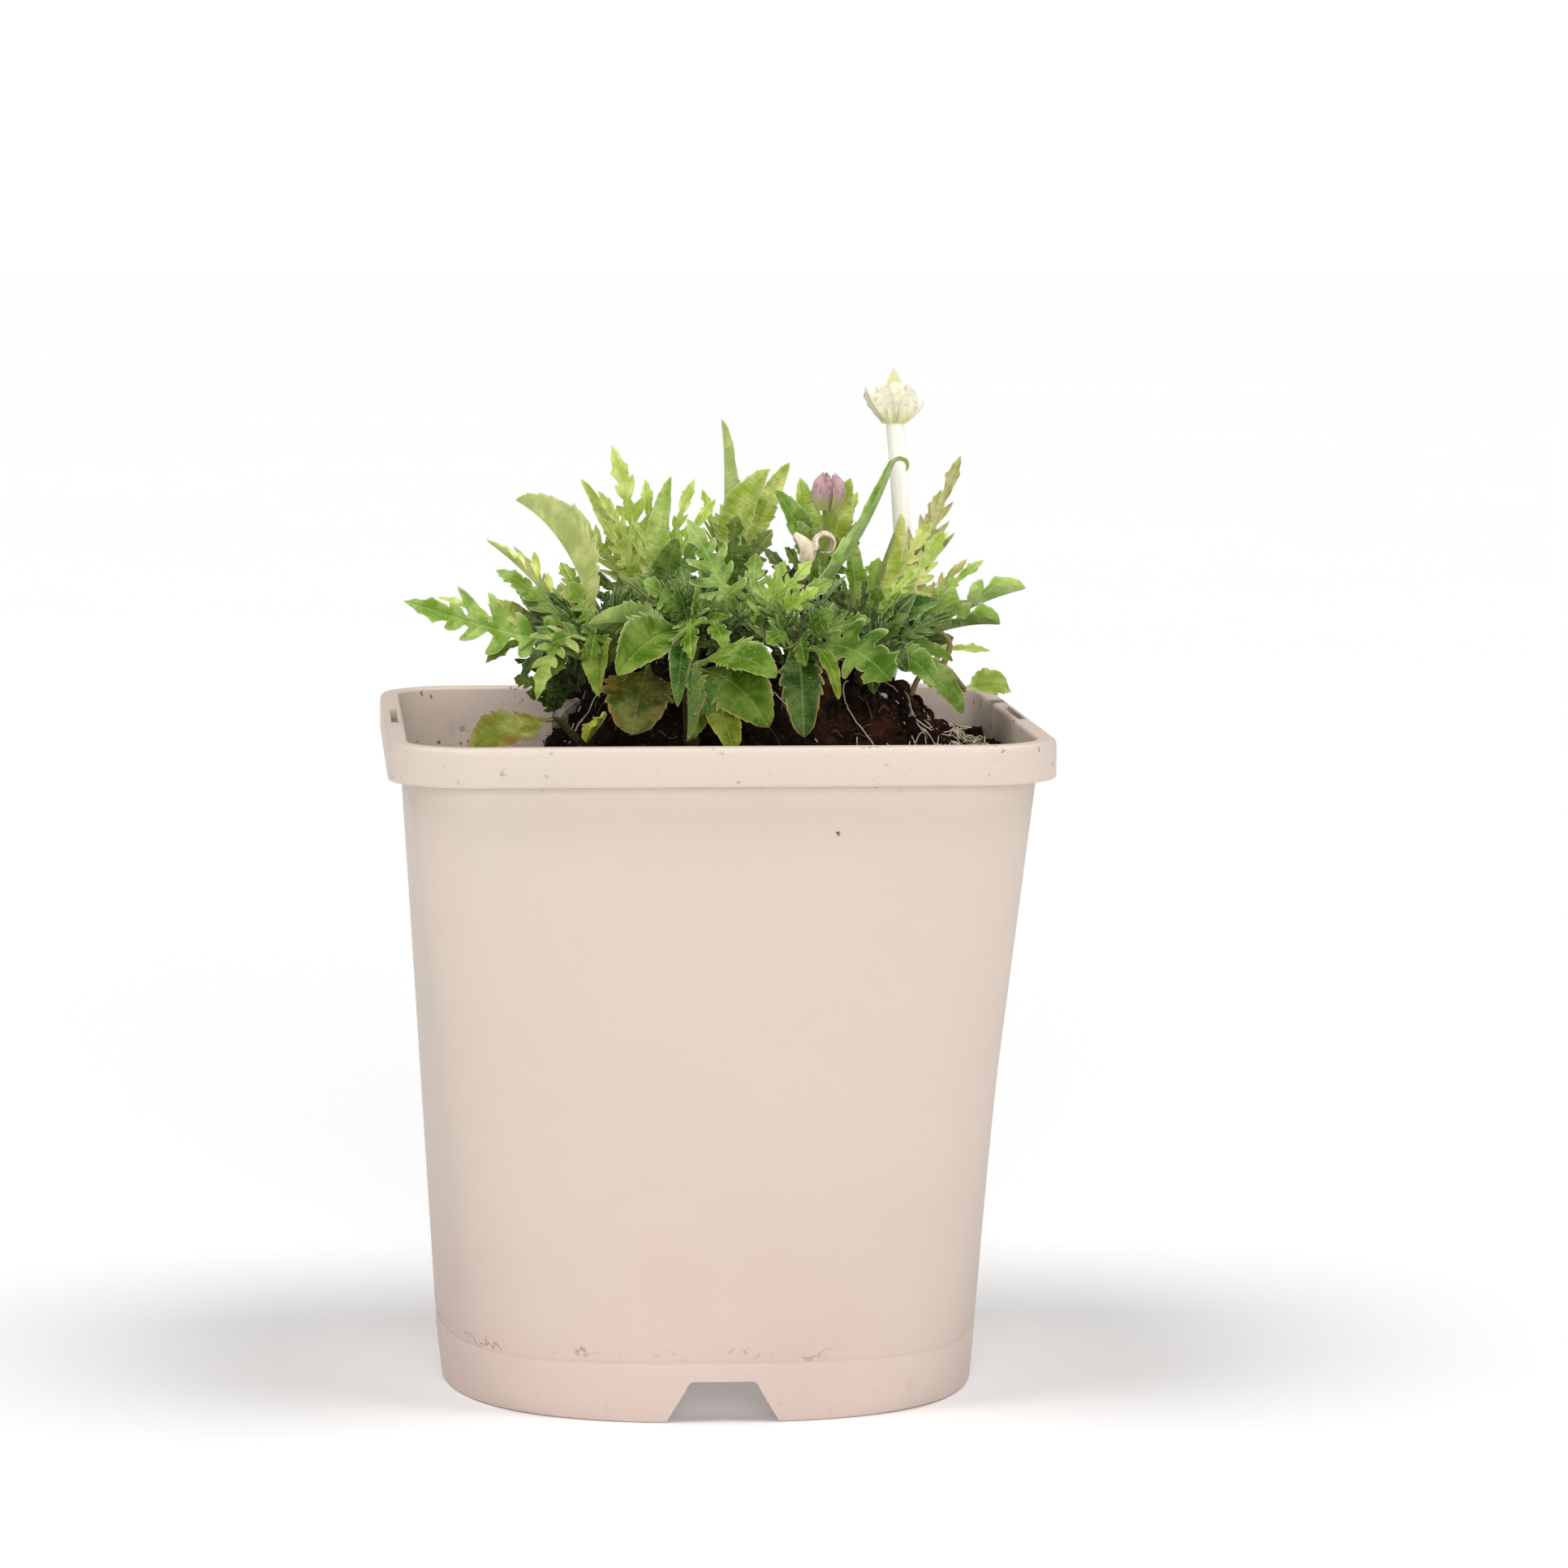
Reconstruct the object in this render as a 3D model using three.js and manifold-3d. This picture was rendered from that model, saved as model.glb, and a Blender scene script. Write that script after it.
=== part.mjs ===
// Potted pincushion flower in a square nursery pot.
// Millimetres, +Z up. The origin is the middle of the pot's base, and the front of the pot faces -Y.

import * as THREE from 'three';
import { mergeVertices } from 'three/addons/utils/BufferGeometryUtils.js';
import Module from 'manifold-3d';

const wasm = await Module();
wasm.setup();

// Pot
const POT_HEIGHT = 134;
const RIM_HALF = 65;
const RIM_RADIUS = 17;
const RIM_BAND = 7.6;
const SKIRT = 1.3;
const FLANGE_INNER = 61.1;
const BODY_TOP_HALF = 62.1;
const BODY_BASE_HALF = 54.1;
const BASE_EXPONENT = 2.5;
const BODY_CORNER = 2.5;
const BODY_LEVELS = [40, 80, 112];
const FLANGE_CORNER = 3.9;
const LIP_ROUND = 0.7;
const LIP_DROP = 0.6;
const WALL = 1.2;
const FOOT_WALL = 2.2;
const FLOOR_TOP = 10;
const FLOOR_UNDER = 8.5;
const MOULD_LINE = 12;
const NOTCH_BOTTOM = 22;
const NOTCH_TOP = 12.5;
const NOTCH_HEIGHT = 8.3;
const NOTCH_ROUND = 1.4;
const THROUGH = 140;
const DRAIN_RADIUS = 4;
const DRAIN_RING = 30;
const DRAIN_DEPTH = 6;
const SLOT_LENGTH = 27;
const SLOT_WIDTH = 1.4;
const SLOT_DEPTH = 6;

// Soil
const GAP = 0.3;
const SOIL_LEFT = -16;
const SOIL_RIGHT = -7;
const MOUND = { x: 7, y: -2, rx: 48, ry: 44, top: 10 };
const BANK = { x: -26, y: -30, r: 8, rise: 11 };
const HOLLOW = { x: 31, y: -36, rx: 9, ry: 10, deep: 5 };
const HOLE_DEPTH = 9;
const HOLE_PLAY = 0.35;

// Plant
const LEAF_THICK = 0.6;
const PETIOLE_HALF = 0.7;
const SMALL_LEAF = 9.5;
const CROWN_RADIUS = 2.8;
const SMALL_CROWN = 1.9;
const START = 0.68;

const COLOUR = {
  pot: 0xe6d3c5, soil: 0x2b211b, stem: 0xe3ead2, bud: 0xd7e3bd, purple: 0x8d6b7d, dry: 0xc9b49b,
  brown: 0x6f6a34, yellow: 0x9aa348,
  light: 0x8fb868, mid: 0x5f9450, dark: 0x35693c, red: 0x7e9a5c, young: 0x9cc673, deep: 0x3a7a35,
};

function material(colour, roughness) {
  return new THREE.MeshStandardMaterial({ color: colour, roughness, metalness: 0 });
}

// Turns a list of points and triangles into a solid, facing out.
function solid(points, triangles) {
  const positions = new Float32Array(points.flat());
  let index = triangles.flat();
  let volume = 0;
  for (let i = 0; i < index.length; i += 3) {
    const [a, b, c] = [points[index[i]], points[index[i + 1]], points[index[i + 2]]];
    volume += a[0] * (b[1] * c[2] - b[2] * c[1]) - a[1] * (b[0] * c[2] - b[2] * c[0])
      + a[2] * (b[0] * c[1] - b[1] * c[0]);
  }
  if (volume < 0) index = triangles.map(([a, b, c]) => [a, c, b]).flat();
  return new wasm.Manifold(new wasm.Mesh({
    numProp: 3, vertProperties: positions, triVerts: new Uint32Array(index),
  }));
}

function geometrySolid(geometry) {
  const bare = geometry.clone();
  bare.deleteAttribute('normal');
  bare.deleteAttribute('uv');
  const merged = mergeVertices(bare, 1e-4);
  const array = merged.attributes.position.array;
  const points = [];
  for (let i = 0; i < array.length; i += 3) points.push([array[i], array[i + 1], array[i + 2]]);
  const triangles = [];
  for (let i = 0; i < merged.index.count; i += 3) {
    const t = [merged.index.getX(i), merged.index.getX(i + 1), merged.index.getX(i + 2)];
    if (t[0] !== t[1] && t[1] !== t[2] && t[2] !== t[0]) triangles.push(t);
  }
  return solid(points, triangles);
}

function meshOf(name, body, mat) {
  const data = body.getMesh();
  const geometry = new THREE.BufferGeometry();
  geometry.setAttribute('position', new THREE.BufferAttribute(new Float32Array(data.vertProperties), 3));
  geometry.setIndex(new THREE.BufferAttribute(new Uint32Array(data.triVerts), 1));
  geometry.computeVertexNormals();
  const mesh = new THREE.Mesh(geometry, mat);
  mesh.name = name;
  return mesh;
}

// Joins rings of the same number of points into one closed skin, with a fan at each end.
function skin(rings, capFirst, capLast) {
  const points = [];
  const starts = rings.map((ring) => {
    const start = points.length;
    points.push(...ring);
    return start;
  });
  const triangles = [];
  const count = rings[0].length;
  for (let r = 0; r + 1 < rings.length; r += 1) {
    for (let i = 0; i < count; i += 1) {
      const j = (i + 1) % count;
      const [a, b] = [starts[r] + i, starts[r] + j];
      const [c, d] = [starts[r + 1] + i, starts[r + 1] + j];
      triangles.push([a, b, d], [a, d, c]);
    }
  }
  const first = points.push(capFirst) - 1;
  const last = points.push(capLast) - 1;
  const end = starts[starts.length - 1];
  for (let i = 0; i < count; i += 1) {
    const j = (i + 1) % count;
    triangles.push([starts[0] + j, starts[0] + i, first], [end + i, end + j, last]);
  }
  return solid(points, triangles);
}

const noise = (a, b) => {
  const s = Math.sin(a * 12.9898 + b * 78.233) * 43758.5453;
  return s - Math.floor(s);
};
const mix = (a, b, t) => a + (b - a) * t;
const clamp01 = (v) => Math.min(1, Math.max(0, v));
const smooth = (v) => { const t = clamp01(v); return t * t * (3 - 2 * t); };

// Polar angles of the pot's section, closer together at the corners.
const ARC_STEPS = 4;
const ANGLES = [];
for (let quarter = 0; quarter < 4; quarter += 1) {
  const flat = RIM_HALF - RIM_RADIUS;
  const start = Math.atan2(flat, RIM_HALF);
  const local = [-start * 0.66, -start * 0.33, 0, start * 0.33, start * 0.66, start];
  for (let k = 1; k <= ARC_STEPS; k += 1) {
    const turn = (k / ARC_STEPS) * Math.PI / 2;
    local.push(Math.atan2(flat + RIM_RADIUS * Math.sin(turn), flat + RIM_RADIUS * Math.cos(turn)));
  }
  local.forEach((a) => ANGLES.push(a + quarter * Math.PI / 2));
}

// Distance from the axis to a rounded square and to a superellipse, at a polar angle.
function squareReach(half, radius, angle) {
  const c = Math.abs(Math.cos(angle));
  const s = Math.abs(Math.sin(angle));
  const flat = half - radius;
  if (s * half <= c * flat) return half / c;
  if (c * half <= s * flat) return half / s;
  const along = flat * (c + s);
  return along + Math.sqrt(Math.max(0, along * along - 2 * flat * flat + radius * radius));
}

function ellipseReach(half, exponent, angle) {
  const c = Math.abs(Math.cos(angle));
  const s = Math.abs(Math.sin(angle));
  return half / (c ** exponent + s ** exponent) ** (1 / exponent);
}

// The body's outer section: a soft superellipse at the foot and a rounded square below the rim.
function bodyReach(z, angle, inset) {
  const t = clamp01(z / POT_HEIGHT);
  const half = mix(BODY_BASE_HALF, BODY_TOP_HALF, t) - inset;
  const square = squareReach(half, RIM_RADIUS - BODY_CORNER - inset, angle);
  return mix(ellipseReach(half, BASE_EXPONENT, angle), square, t ** 0.65);
}

const bodyRing = (z, inset) => ANGLES.map((a) => {
  const r = bodyReach(z, a, inset);
  return [r * Math.cos(a), r * Math.sin(a), z];
});
// The inside of the wall between the floor and the flange.
const WALL_LEVELS = [FLOOR_TOP, ...BODY_LEVELS, POT_HEIGHT - LIP_DROP];
const LAST_LEVEL = WALL_LEVELS.length - 1;
const wallReach = (level, angle) => (level < LAST_LEVEL ? bodyReach(WALL_LEVELS[level], angle, WALL)
  : squareReach(FLANGE_INNER, RIM_RADIUS - FLANGE_CORNER, angle));

function insideReach(z, angle) {
  let k = 0;
  while (k < LAST_LEVEL - 1 && z > WALL_LEVELS[k + 1]) k += 1;
  const t = (z - WALL_LEVELS[k]) / (WALL_LEVELS[k + 1] - WALL_LEVELS[k]);
  return mix(wallReach(k, angle), wallReach(k + 1, angle), t);
}

const squareRing = (half, radius, z) => ANGLES.map((a) => {
  const r = squareReach(half, radius, a);
  return [r * Math.cos(a), r * Math.sin(a), z];
});

function extruded(shape, depth) {
  return new THREE.ExtrudeGeometry(shape, { depth, bevelEnabled: false, curveSegments: 3, steps: 1 });
}

function notchShape() {
  const shape = new THREE.Shape();
  const [b, t, r] = [NOTCH_BOTTOM / 2, NOTCH_TOP / 2, NOTCH_ROUND];
  shape.moveTo(-b - 1.2, -2);
  shape.lineTo(b + 1.2, -2);
  shape.lineTo(t + 0.9, NOTCH_HEIGHT - r);
  shape.quadraticCurveTo(t + 0.3, NOTCH_HEIGHT, t - r, NOTCH_HEIGHT);
  shape.lineTo(-t + r, NOTCH_HEIGHT);
  shape.quadraticCurveTo(-t - 0.3, NOTCH_HEIGHT, -t - 0.9, NOTCH_HEIGHT - r);
  shape.closePath();
  return shape;
}

function pot() {
  const H = POT_HEIGHT;
  const outer = [
    bodyRing(0.6, 0),
    bodyRing(MOULD_LINE - 0.5, 0),
    bodyRing(MOULD_LINE, 0.25),
    ...BODY_LEVELS.map((z) => bodyRing(z, 0)),
    bodyRing(H - 1.7, 0),
    squareRing(RIM_HALF - SKIRT, RIM_RADIUS - SKIRT, H - 1.9),
    squareRing(RIM_HALF - SKIRT, RIM_RADIUS - SKIRT, H - RIM_BAND),
    squareRing(RIM_HALF, RIM_RADIUS, H - RIM_BAND),
    squareRing(RIM_HALF, RIM_RADIUS, H - 0.9),
    squareRing(RIM_HALF - LIP_ROUND, RIM_RADIUS - LIP_ROUND, H),
    squareRing(FLANGE_INNER + 0.5, RIM_RADIUS - FLANGE_CORNER + 0.5, H),
    squareRing(FLANGE_INNER, RIM_RADIUS - FLANGE_CORNER, H - LIP_DROP),
  ];
  const inner = [...BODY_LEVELS].reverse().concat(FLOOR_TOP).map((z) => bodyRing(z, WALL));
  const under = [
    bodyRing(0, 0.3),
    bodyRing(0, FOOT_WALL),
    bodyRing(FLOOR_UNDER, FOOT_WALL - 0.4),
  ];
  const rings = [...under.reverse(), ...outer, ...inner];
  let body = skin(rings, [0, 0, FLOOR_UNDER], [0, 0, FLOOR_TOP]);
  const notch = extruded(notchShape(), THROUGH);
  notch.rotateX(Math.PI / 2);
  notch.translate(0, THROUGH / 2, 0);
  body = body.subtract(geometrySolid(notch));
  notch.rotateZ(Math.PI / 2);
  body = body.subtract(geometrySolid(notch));
  for (let i = 0; i < 4; i += 1) {
    const a = i * Math.PI / 2 + Math.PI / 4;
    const hole = new THREE.CylinderGeometry(DRAIN_RADIUS, DRAIN_RADIUS, DRAIN_DEPTH, 12).rotateX(Math.PI / 2);
    hole.translate(DRAIN_RING * Math.cos(a), DRAIN_RING * Math.sin(a), (FLOOR_TOP + FLOOR_UNDER) / 2);
    body = body.subtract(geometrySolid(hole));
  }
  for (const side of [-1, 1]) {
    const slot = new THREE.BoxGeometry(SLOT_WIDTH, SLOT_LENGTH, SLOT_DEPTH);
    slot.translate(side * (RIM_HALF - SKIRT - 0.75), 0, H - 2);
    body = body.subtract(geometrySolid(slot));
  }
  return body;
}

// Height of the soil: low at the left and back walls, higher at the right, heaped in the middle.
function soilHeight(x, y) {
  const edge = mix(SOIL_LEFT, SOIL_RIGHT, smooth((x + 35) / 90)) - 2.5 * smooth((y - 10) / 50);
  const dx = (x - MOUND.x) / MOUND.rx;
  const dy = (y - MOUND.y) / MOUND.ry;
  const heap = smooth(2 * (1 - Math.sqrt(dx * dx + dy * dy)));
  const hx = (x - HOLLOW.x) / HOLLOW.rx;
  const hy = (y - HOLLOW.y) / HOLLOW.ry;
  const hollow = HOLLOW.deep * Math.exp(-(hx ** 2) - hy ** 2);
  const lumps = 1.1 * Math.sin(x * 0.31 + y * 0.17) * Math.sin(y * 0.37 - x * 0.11)
    + 0.8 * Math.sin(x * 0.83 + 1.3) * Math.sin(y * 0.71 + 0.4);
  const bank = BANK.rise * Math.exp(-(((x - BANK.x) / BANK.r) ** 2) - (((y - BANK.y) / BANK.r) ** 2));
  return POT_HEIGHT + mix(edge, MOUND.top, heap) - hollow + bank + lumps;
}

function soil() {
  const wallRing = (z) => ANGLES.map((a) => {
    const r = insideReach(z, a) - GAP - 0.05;
    return [r * Math.cos(a), r * Math.sin(a), z];
  });
  const edge = ANGLES.map((a) => {
    let z = POT_HEIGHT + SOIL_LEFT;
    let r = 0;
    for (let k = 0; k < 4; k += 1) {
      r = insideReach(z, a) - GAP - 0.05;
      z = soilHeight(r * Math.cos(a), r * Math.sin(a));
    }
    return [r * Math.cos(a), r * Math.sin(a), z];
  });
  const topRing = (share) => edge.map(([x, y]) => [x * share, y * share, soilHeight(x * share, y * share)]);
  const rings = [
    ...[0.16, 0.34, 0.5, 0.66, 0.8, 0.92].map(topRing), edge,
    ...[...BODY_LEVELS].reverse().concat(FLOOR_TOP + GAP).map(wallRing),
  ];
  return skin(rings, [0, 0, soilHeight(0, 0)], [0, 0, FLOOR_TOP + GAP]);
}

// A round bar along a path of points, each with its own radius.
function bar(path, radii, sides) {
  const points = path.map((p) => new THREE.Vector3(...p));
  const up = new THREE.Vector3(0.13, 1, 0.07).normalize();
  const rings = points.map((p, i) => {
    const before = points[Math.max(0, i - 1)];
    const after = points[Math.min(points.length - 1, i + 1)];
    const along = after.clone().sub(before).normalize();
    const u = up.clone().addScaledVector(along, -up.dot(along)).normalize();
    const v = along.clone().cross(u);
    return Array.from({ length: sides }, (_, k) => {
      const a = (k / sides) * Math.PI * 2;
      return p.clone().addScaledVector(u, radii[i] * Math.cos(a)).addScaledVector(v, radii[i] * Math.sin(a))
        .toArray();
    });
  });
  return skin(rings, path[0], path[path.length - 1]);
}

function ball(centre, rx, ry, rz, width, height) {
  const g = new THREE.SphereGeometry(1, width, height).rotateX(Math.PI / 2).scale(rx, ry, rz);
  return geometrySolid(g.translate(...centre));
}

// Leaf outlines. Each lobe is [notch place, notch half width, lobe place, lobe half width], as shares of
// the leaf's length and of its half width, from the stalk to the tip.
const KINDS = {
  cut: [[0.24, 0.12, 0.4, 0.62], [0.39, 0.18, 0.56, 0.95], [0.55, 0.22, 0.73, 1], [0.72, 0.22, 0.89, 0.62]],
  small: [[0.26, 0.14, 0.44, 0.74], [0.44, 0.2, 0.65, 1], [0.64, 0.22, 0.84, 0.78]],
  cutfew: [[0.26, 0.16, 0.41, 0.62], [0.42, 0.24, 0.6, 0.95], [0.6, 0.3, 0.78, 1], [0.79, 0.3, 0.92, 0.5]],
  feather: [[0.22, 0.08, 0.42, 0.76], [0.42, 0.1, 0.62, 1], [0.62, 0.12, 0.82, 0.72]],
  toothed: [
    [0.2, 0.16, 0.36, 0.5], [0.42, 0.56, 0.52, 0.84], [0.58, 0.82, 0.68, 1], [0.75, 0.84, 0.84, 0.76],
  ],
  oval: [[0.18, 0.16, 0.34, 0.78], [0.42, 0.8, 0.52, 1], [0.6, 0.9, 0.7, 0.98], [0.78, 0.78, 0.88, 0.62]],
  scallop: [[0.22, 0.3, 0.38, 0.85], [0.5, 0.6, 0.62, 1], [0.74, 0.58, 0.86, 0.76]],
  lance: [[0.22, 0.42, 0.36, 0.78], [0.5, 0.94, 0.6, 1], [0.76, 0.78, 0.86, 0.56]],
};

// The leaf's frame at a share t of its length: place, side direction and face direction.
function leafFrame(base, tip, bow, turn) {
  const B = new THREE.Vector3(...base);
  const T = new THREE.Vector3(...tip);
  const d = T.clone().sub(B);
  const length = d.length();
  const u = d.clone().normalize();
  const face = new THREE.Vector3(0, -1, 0).addScaledVector(u, u.y).normalize();
  const across = u.clone().cross(face);
  if (across.z < 0) across.negate();
  const a = turn * Math.PI / 180;
  const normal = face.multiplyScalar(Math.cos(a)).addScaledVector(across, Math.sin(a));
  const up = new THREE.Vector3(0, 0, 1).addScaledVector(u, -u.z).normalize();
  const C = B.clone().addScaledVector(d, 0.45).addScaledVector(up, bow * length);
  return (t) => {
    const place = B.clone().multiplyScalar((1 - t) * (1 - t)).addScaledVector(C, 2 * t * (1 - t))
      .addScaledVector(T, t * t);
    const along = C.clone().sub(B).multiplyScalar(1 - t).addScaledVector(T.clone().sub(C), t).normalize();
    const n = normal.clone().addScaledVector(along, -normal.dot(along)).normalize();
    return { place, n, s: along.clone().cross(n) };
  };
}

// One leaf: a blade with a raised middle on both faces that thins out to its lobed edge.
function leaf(kind, base, tip, width, bow, turn, fold, seed) {
  const frame = leafFrame(base, tip, bow, turn);
  const lobes = KINDS[kind === 'cut' && width < SMALL_LEAF ? 'small' : kind];
  const end = lobes[lobes.length - 1];
  const anchors = [0.1, ...lobes.map((l, i) => (l[0] + (i + 1 < lobes.length ? lobes[i + 1][0] : 0.93)) / 2)];
  const points = [];
  const at = (t, w, lift) => {
    const { place, n, s } = frame(Math.min(1, Math.max(0, t)));
    const half = w === 0 ? 0 : Math.sign(w) * Math.max(Math.abs(w) * width / 2, PETIOLE_HALF);
    place.addScaledVector(s, half).addScaledVector(n, fold * Math.abs(half) + lift);
    return points.push(place.toArray()) - 1;
  };
  const root = at(0, 0, 0);
  const point = at(1, 0, 0);
  const rib = anchors.map((t) => {
    const thick = LEAF_THICK * (t > 0.8 ? 0.75 : 1);
    return [at(t, 0, thick), at(t, 0, -thick)];
  });
  const triangles = [];
  for (const side of [1, -1]) {
    const edge = [[root, 0], [at(0.04, side * 0.05, 0), 0]];
    lobes.forEach(([nt, nw, pt, pw], i) => {
      const shift = side * 0.02 + 0.02 * (noise(seed, i + 3 * side) - 0.5);
      const size = 0.88 + 0.24 * noise(seed + 7, i + 5 * side);
      edge.push([at(nt + shift, side * nw, 0), i]);
      edge.push([at(pt + shift, side * pw * size, 0), i + 1]);
    });
    edge.push([at(Math.max(0.94, end[2] + 0.03), side * 0.12, 0), lobes.length]);
    edge.push([point, lobes.length]);
    for (let k = 0; k + 1 < edge.length; k += 1) {
      const [a, ra] = edge[k];
      const [b, rb] = edge[k + 1];
      for (const layer of [0, 1]) {
        const keep = (side > 0) === (layer === 0);
        const add = (p, q, r) => triangles.push(keep ? [p, q, r] : [p, r, q]);
        if (rb !== ra) add(rib[ra][layer], a, rib[rb][layer]);
        add(rib[rb][layer], a, b);
      }
    }
  }
  return solid(points, triangles);
}

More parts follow.
